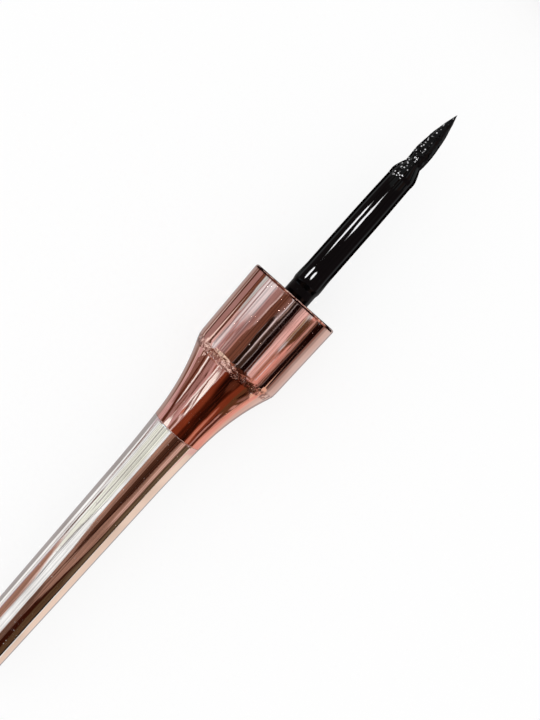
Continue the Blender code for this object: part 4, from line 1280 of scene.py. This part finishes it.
def make_tent():
    """A half-round tent over the object, in four lengths: handle, collar, rod and beyond."""
    parts = (
        ("handle_tent", WHITE, HANDLE_BANDS, TENT_FADE, 0.0),
        ("collar_tent", ICE, COLLAR_BANDS, COLLAR_FADE, COLLAR_TURN),
        ("rod_tent", TAUPE, ROD_BANDS, TENT_FADE, 0.0),
        ("far_tent", WHITE, FAR_BANDS, TENT_FADE, 0.0),
    )
    for (name, base, bands, fade, turn), back, front in zip(parts, TENT_SEAMS, TENT_SEAMS[1:]):

        def painter(tree, base=base, bands=bands, fade=fade, turn=turn):
            angle, place = round_axis(tree, TENT_SWAYS, turn)
            colour = painted(tree, angle, place, base, bands, fade)
            streaks = grain(tree, millimetres(tree, 0.009, 0.05), 1.0, 3.0, 0.6)
            lines = grain(tree, millimetres(tree, 0.006, 0.075), 1.0, 2.0)
            shade = scaled(tree, colour, STREAK_SHADE)
            colour = mixed(tree, ramped(tree, streaks, 0.48, 0.58), colour, shade)
            shade = scaled(tree, colour, FINE_LINE_SHADE)
            return mixed(tree, ramped(tree, lines, 0.57, 0.62), colour, shade)

        glowing(curved_sheet(name, TENT_RADIUS, TENT_HALF_ANGLE, back, front), painter)


def make_table_glow():
    """Painted reflections of the table near the object, the object's own shadow on it included, which its
    polished sides alone show.
    """

    def painter(tree):
        place, y = places(tree, millimetres(tree))[:2]
        return painted(tree, y, place, WHITE, TABLE_BANDS, TENT_FADE)

    back = RIM_X + TABLE_BACK_AT * MM
    front = RIM_X + TABLE_FRONT_AT * MM
    sheet = flat_sheet("table_glow", back, front, TABLE_HALF_WIDTH * MM, TABLE_HEIGHT * MM)
    glowing(sheet, painter)


def make_cards():
    """Cards close above the bell and the lip of the collar, which alone show them."""

    def bell_painter(tree):
        angle, place = round_axis(tree, BELL_SWAYS, CARD_TURN)
        colour = painted(tree, angle, place, TAUPE, BELL_BANDS, CARD_FADE)
        streaks = grain(tree, millimetres(tree, 0.45, 4.0), 1.0, 3.0)
        colour = mixed(tree, ramped(tree, streaks, 0.50, 0.68, 0.0, 0.5), colour, RUST)
        light = scaled(tree, colour, BELL_STREAK_LIGHT)
        return mixed(tree, ramped(tree, streaks, 0.44, 0.34, 0.0, 0.8), colour, light)

    def lip_painter(tree):
        angle, place = round_axis(tree, LIP_SWAYS, COLLAR_TURN)
        return painted(tree, angle, place, UMBER, LIP_BANDS, CARD_FADE)

    cards = (
        ("bell_card", CARD_RADIUS, CARD_BACK_AT, CARD_FRONT_AT, bell_painter),
        ("lip_card", LIP_CARD_RADIUS, LIP_CARD_BACK_AT, LIP_CARD_FRONT_AT, lip_painter),
    )
    for name, radius, back, front, painter in cards:
        glowing(curved_sheet(name, radius, CARD_HALF_ANGLE, back, front), painter)


def make_floor():
    """A plain pale floor that stays white in the picture and keeps the object's shadow."""
    floor = flat_sheet("floor", -FLOOR_HALF, FLOOR_HALF, FLOOR_HALF, 0.0)
    material, tree, shader = new_material("floor")
    colour = mixed(tree, grain(tree, millimetres(tree), 0.8, 2.0), FLOOR_SHADE, FLOOR_LIGHT)
    connect(tree, shader, {"Base Color": colour, "Roughness": 0.9, "Specular IOR Level": 0.0})
    rays = node(tree, "ShaderNodeLightPath").outputs
    seen = maths(tree, "MAXIMUM", rays["Is Camera Ray"], rays["Is Glossy Ray"])
    seen = maths(tree, "MAXIMUM", seen, rays["Is Transmission Ray"])
    glow = node(tree, "ShaderNodeEmission", {"Color": (1.0, 1.0, 1.0, 1.0)}).outputs[0]
    share = times(tree, seen, FLOOR_GLOW_SHARE)
    blend = node(tree, "ShaderNodeMixShader", {0: share, 1: shader.outputs[0], 2: glow})
    tree.links.new(blend.outputs[0], tree.nodes["Material Output"].inputs["Surface"])
    floor.data.materials.append(material)


def make_world():
    """Plain white light from all round."""
    world = bpy.data.worlds.new("studio")
    bpy.context.scene.world = world
    world.use_nodes = True
    background = world.node_tree.nodes["Background"]
    background.inputs["Color"].default_value = (1.0, 1.0, 1.0, 1.0)
    background.inputs["Strength"].default_value = 1.0


def make_camera():
    """The photograph's view: the common axis rises to the upper right."""
    data = bpy.data.cameras.new("camera")
    data.sensor_width = SENSOR
    data.lens = SENSOR * FOCAL_LENGTH_PIXELS / PICTURE_LONG_SIDE
    data.clip_start = 0.01
    data.clip_end = 20.0
    camera = bpy.data.objects.new("camera", data)
    bpy.context.scene.collection.objects.link(camera)
    back = Vector((math.sin(CAMERA_TILT), 0.0, math.cos(CAMERA_TILT)))
    along = Vector((math.cos(CAMERA_TILT), 0.0, -math.sin(CAMERA_TILT)))
    aside = Vector((0.0, 1.0, 0.0))
    right = along * math.cos(AXIS_ANGLE) - aside * math.sin(AXIS_ANGLE)
    up = along * math.sin(AXIS_ANGLE) + aside * math.cos(AXIS_ANGLE)
    turn = Matrix((right, up, back)).transposed().to_4x4()
    where = Vector((RIM_X, CAMERA_SIDE_STEP * MM, AXIS_Z + CAMERA_DISTANCE * MM))
    camera.matrix_world = Matrix.Translation(where) @ turn
    bpy.context.scene.camera = camera


def main():
    """Sets the scene, makes the pieces and gives each its look and its body."""
    bpy.context.scene.view_settings.view_transform = "Standard"
    make_camera()
    make_world()
    make_floor()
    make_tent()
    make_table_glow()
    make_cards()

    silver = plated("silver", SILVER, SILVER_DULL, (HANDLE_BACK_AT + HANDLE_DOME_HEIGHT,))
    crease = (-COLLAR_LENGTH - CREASE_SHIFT, CREASE_REACH, CREASE_DEPTH)
    rim = (0.0, RIM_REACH, RIM_DEPTH)
    rose = plated("rose_gold", ROSE, ROSE_DULL, (0.0,), (0.0,), (crease, rim))
    sleeve_rose = plated("sleeve_rose", ROSE, ROSE_DULL, (BOTTLE_SHOULDER_AT, SLEEVE_END_AT))
    black_gloss = gloss_plastic("black_gloss", BLACK_PLASTIC, BLACK_WORN)
    vial_plastic = gloss_plastic("vial_plastic", MOULDED_BLACK, MOULDED_GREY)
    ink = wet_ink("wet_ink")
    cap_plastic = moulded("cap_plastic", MOULDED_BLACK, MOULDED_GREY, 0.30, 0.48, 0.003)
    base_plastic = moulded("base_plastic", MOULDED_BLACK, MOULDED_GREY, 0.38, 0.60, 0.006)
    core_plastic = moulded("core_plastic", NATURAL_WHITE, NATURAL_SHADE, 0.35, 0.55, 0.003)
    liner_foam = moulded("liner_foam", NATURAL_WHITE, NATURAL_SHADE, 0.65, 0.85, 0.020)
    wiper_rubber = moulded("wiper_rubber", NATURAL_WHITE, NATURAL_SHADE, 0.35, 0.60, 0.004)
    steel = turned_steel("turned_steel")
    ball_steel = turned_steel("ball_steel")

    dress(make_handle(), silver, "applicator", "silver", "handle_tube")
    dress(make_collar(), rose, "applicator", "rose_gold", "bell_collar")
    dress(make_screw_cap(), cap_plastic, "applicator", "cap_plastic", "inner_cap")
    dress(make_rod(), black_gloss, "applicator", "black_gloss", "rod")
    dress(make_ink(), ink, "applicator", "bristle_black", "brush_tuft")
    dress(make_bristles(), ink, "applicator", "bristle_black", "brush_tuft")
    dress(make_vial(), vial_plastic, "bottle", "vial_plastic", "vial")
    dress(make_wiper(), wiper_rubber, "bottle", "wiper_rubber", "wiper")
    dress(make_sleeve(), sleeve_rose, "bottle", "sleeve_rose", "bottle_sleeve")
    dress(make_base(), base_plastic, "bottle", "base_plastic", "base_plug")

    kept = {
        "handle_core": core_plastic,
        "handle_weight": steel,
        "cap_liner": liner_foam,
        "mixing_ball": ball_steel,
    }
    for name, material in kept.items():
        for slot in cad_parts[name].material_slots:
            slot.material = material


main()
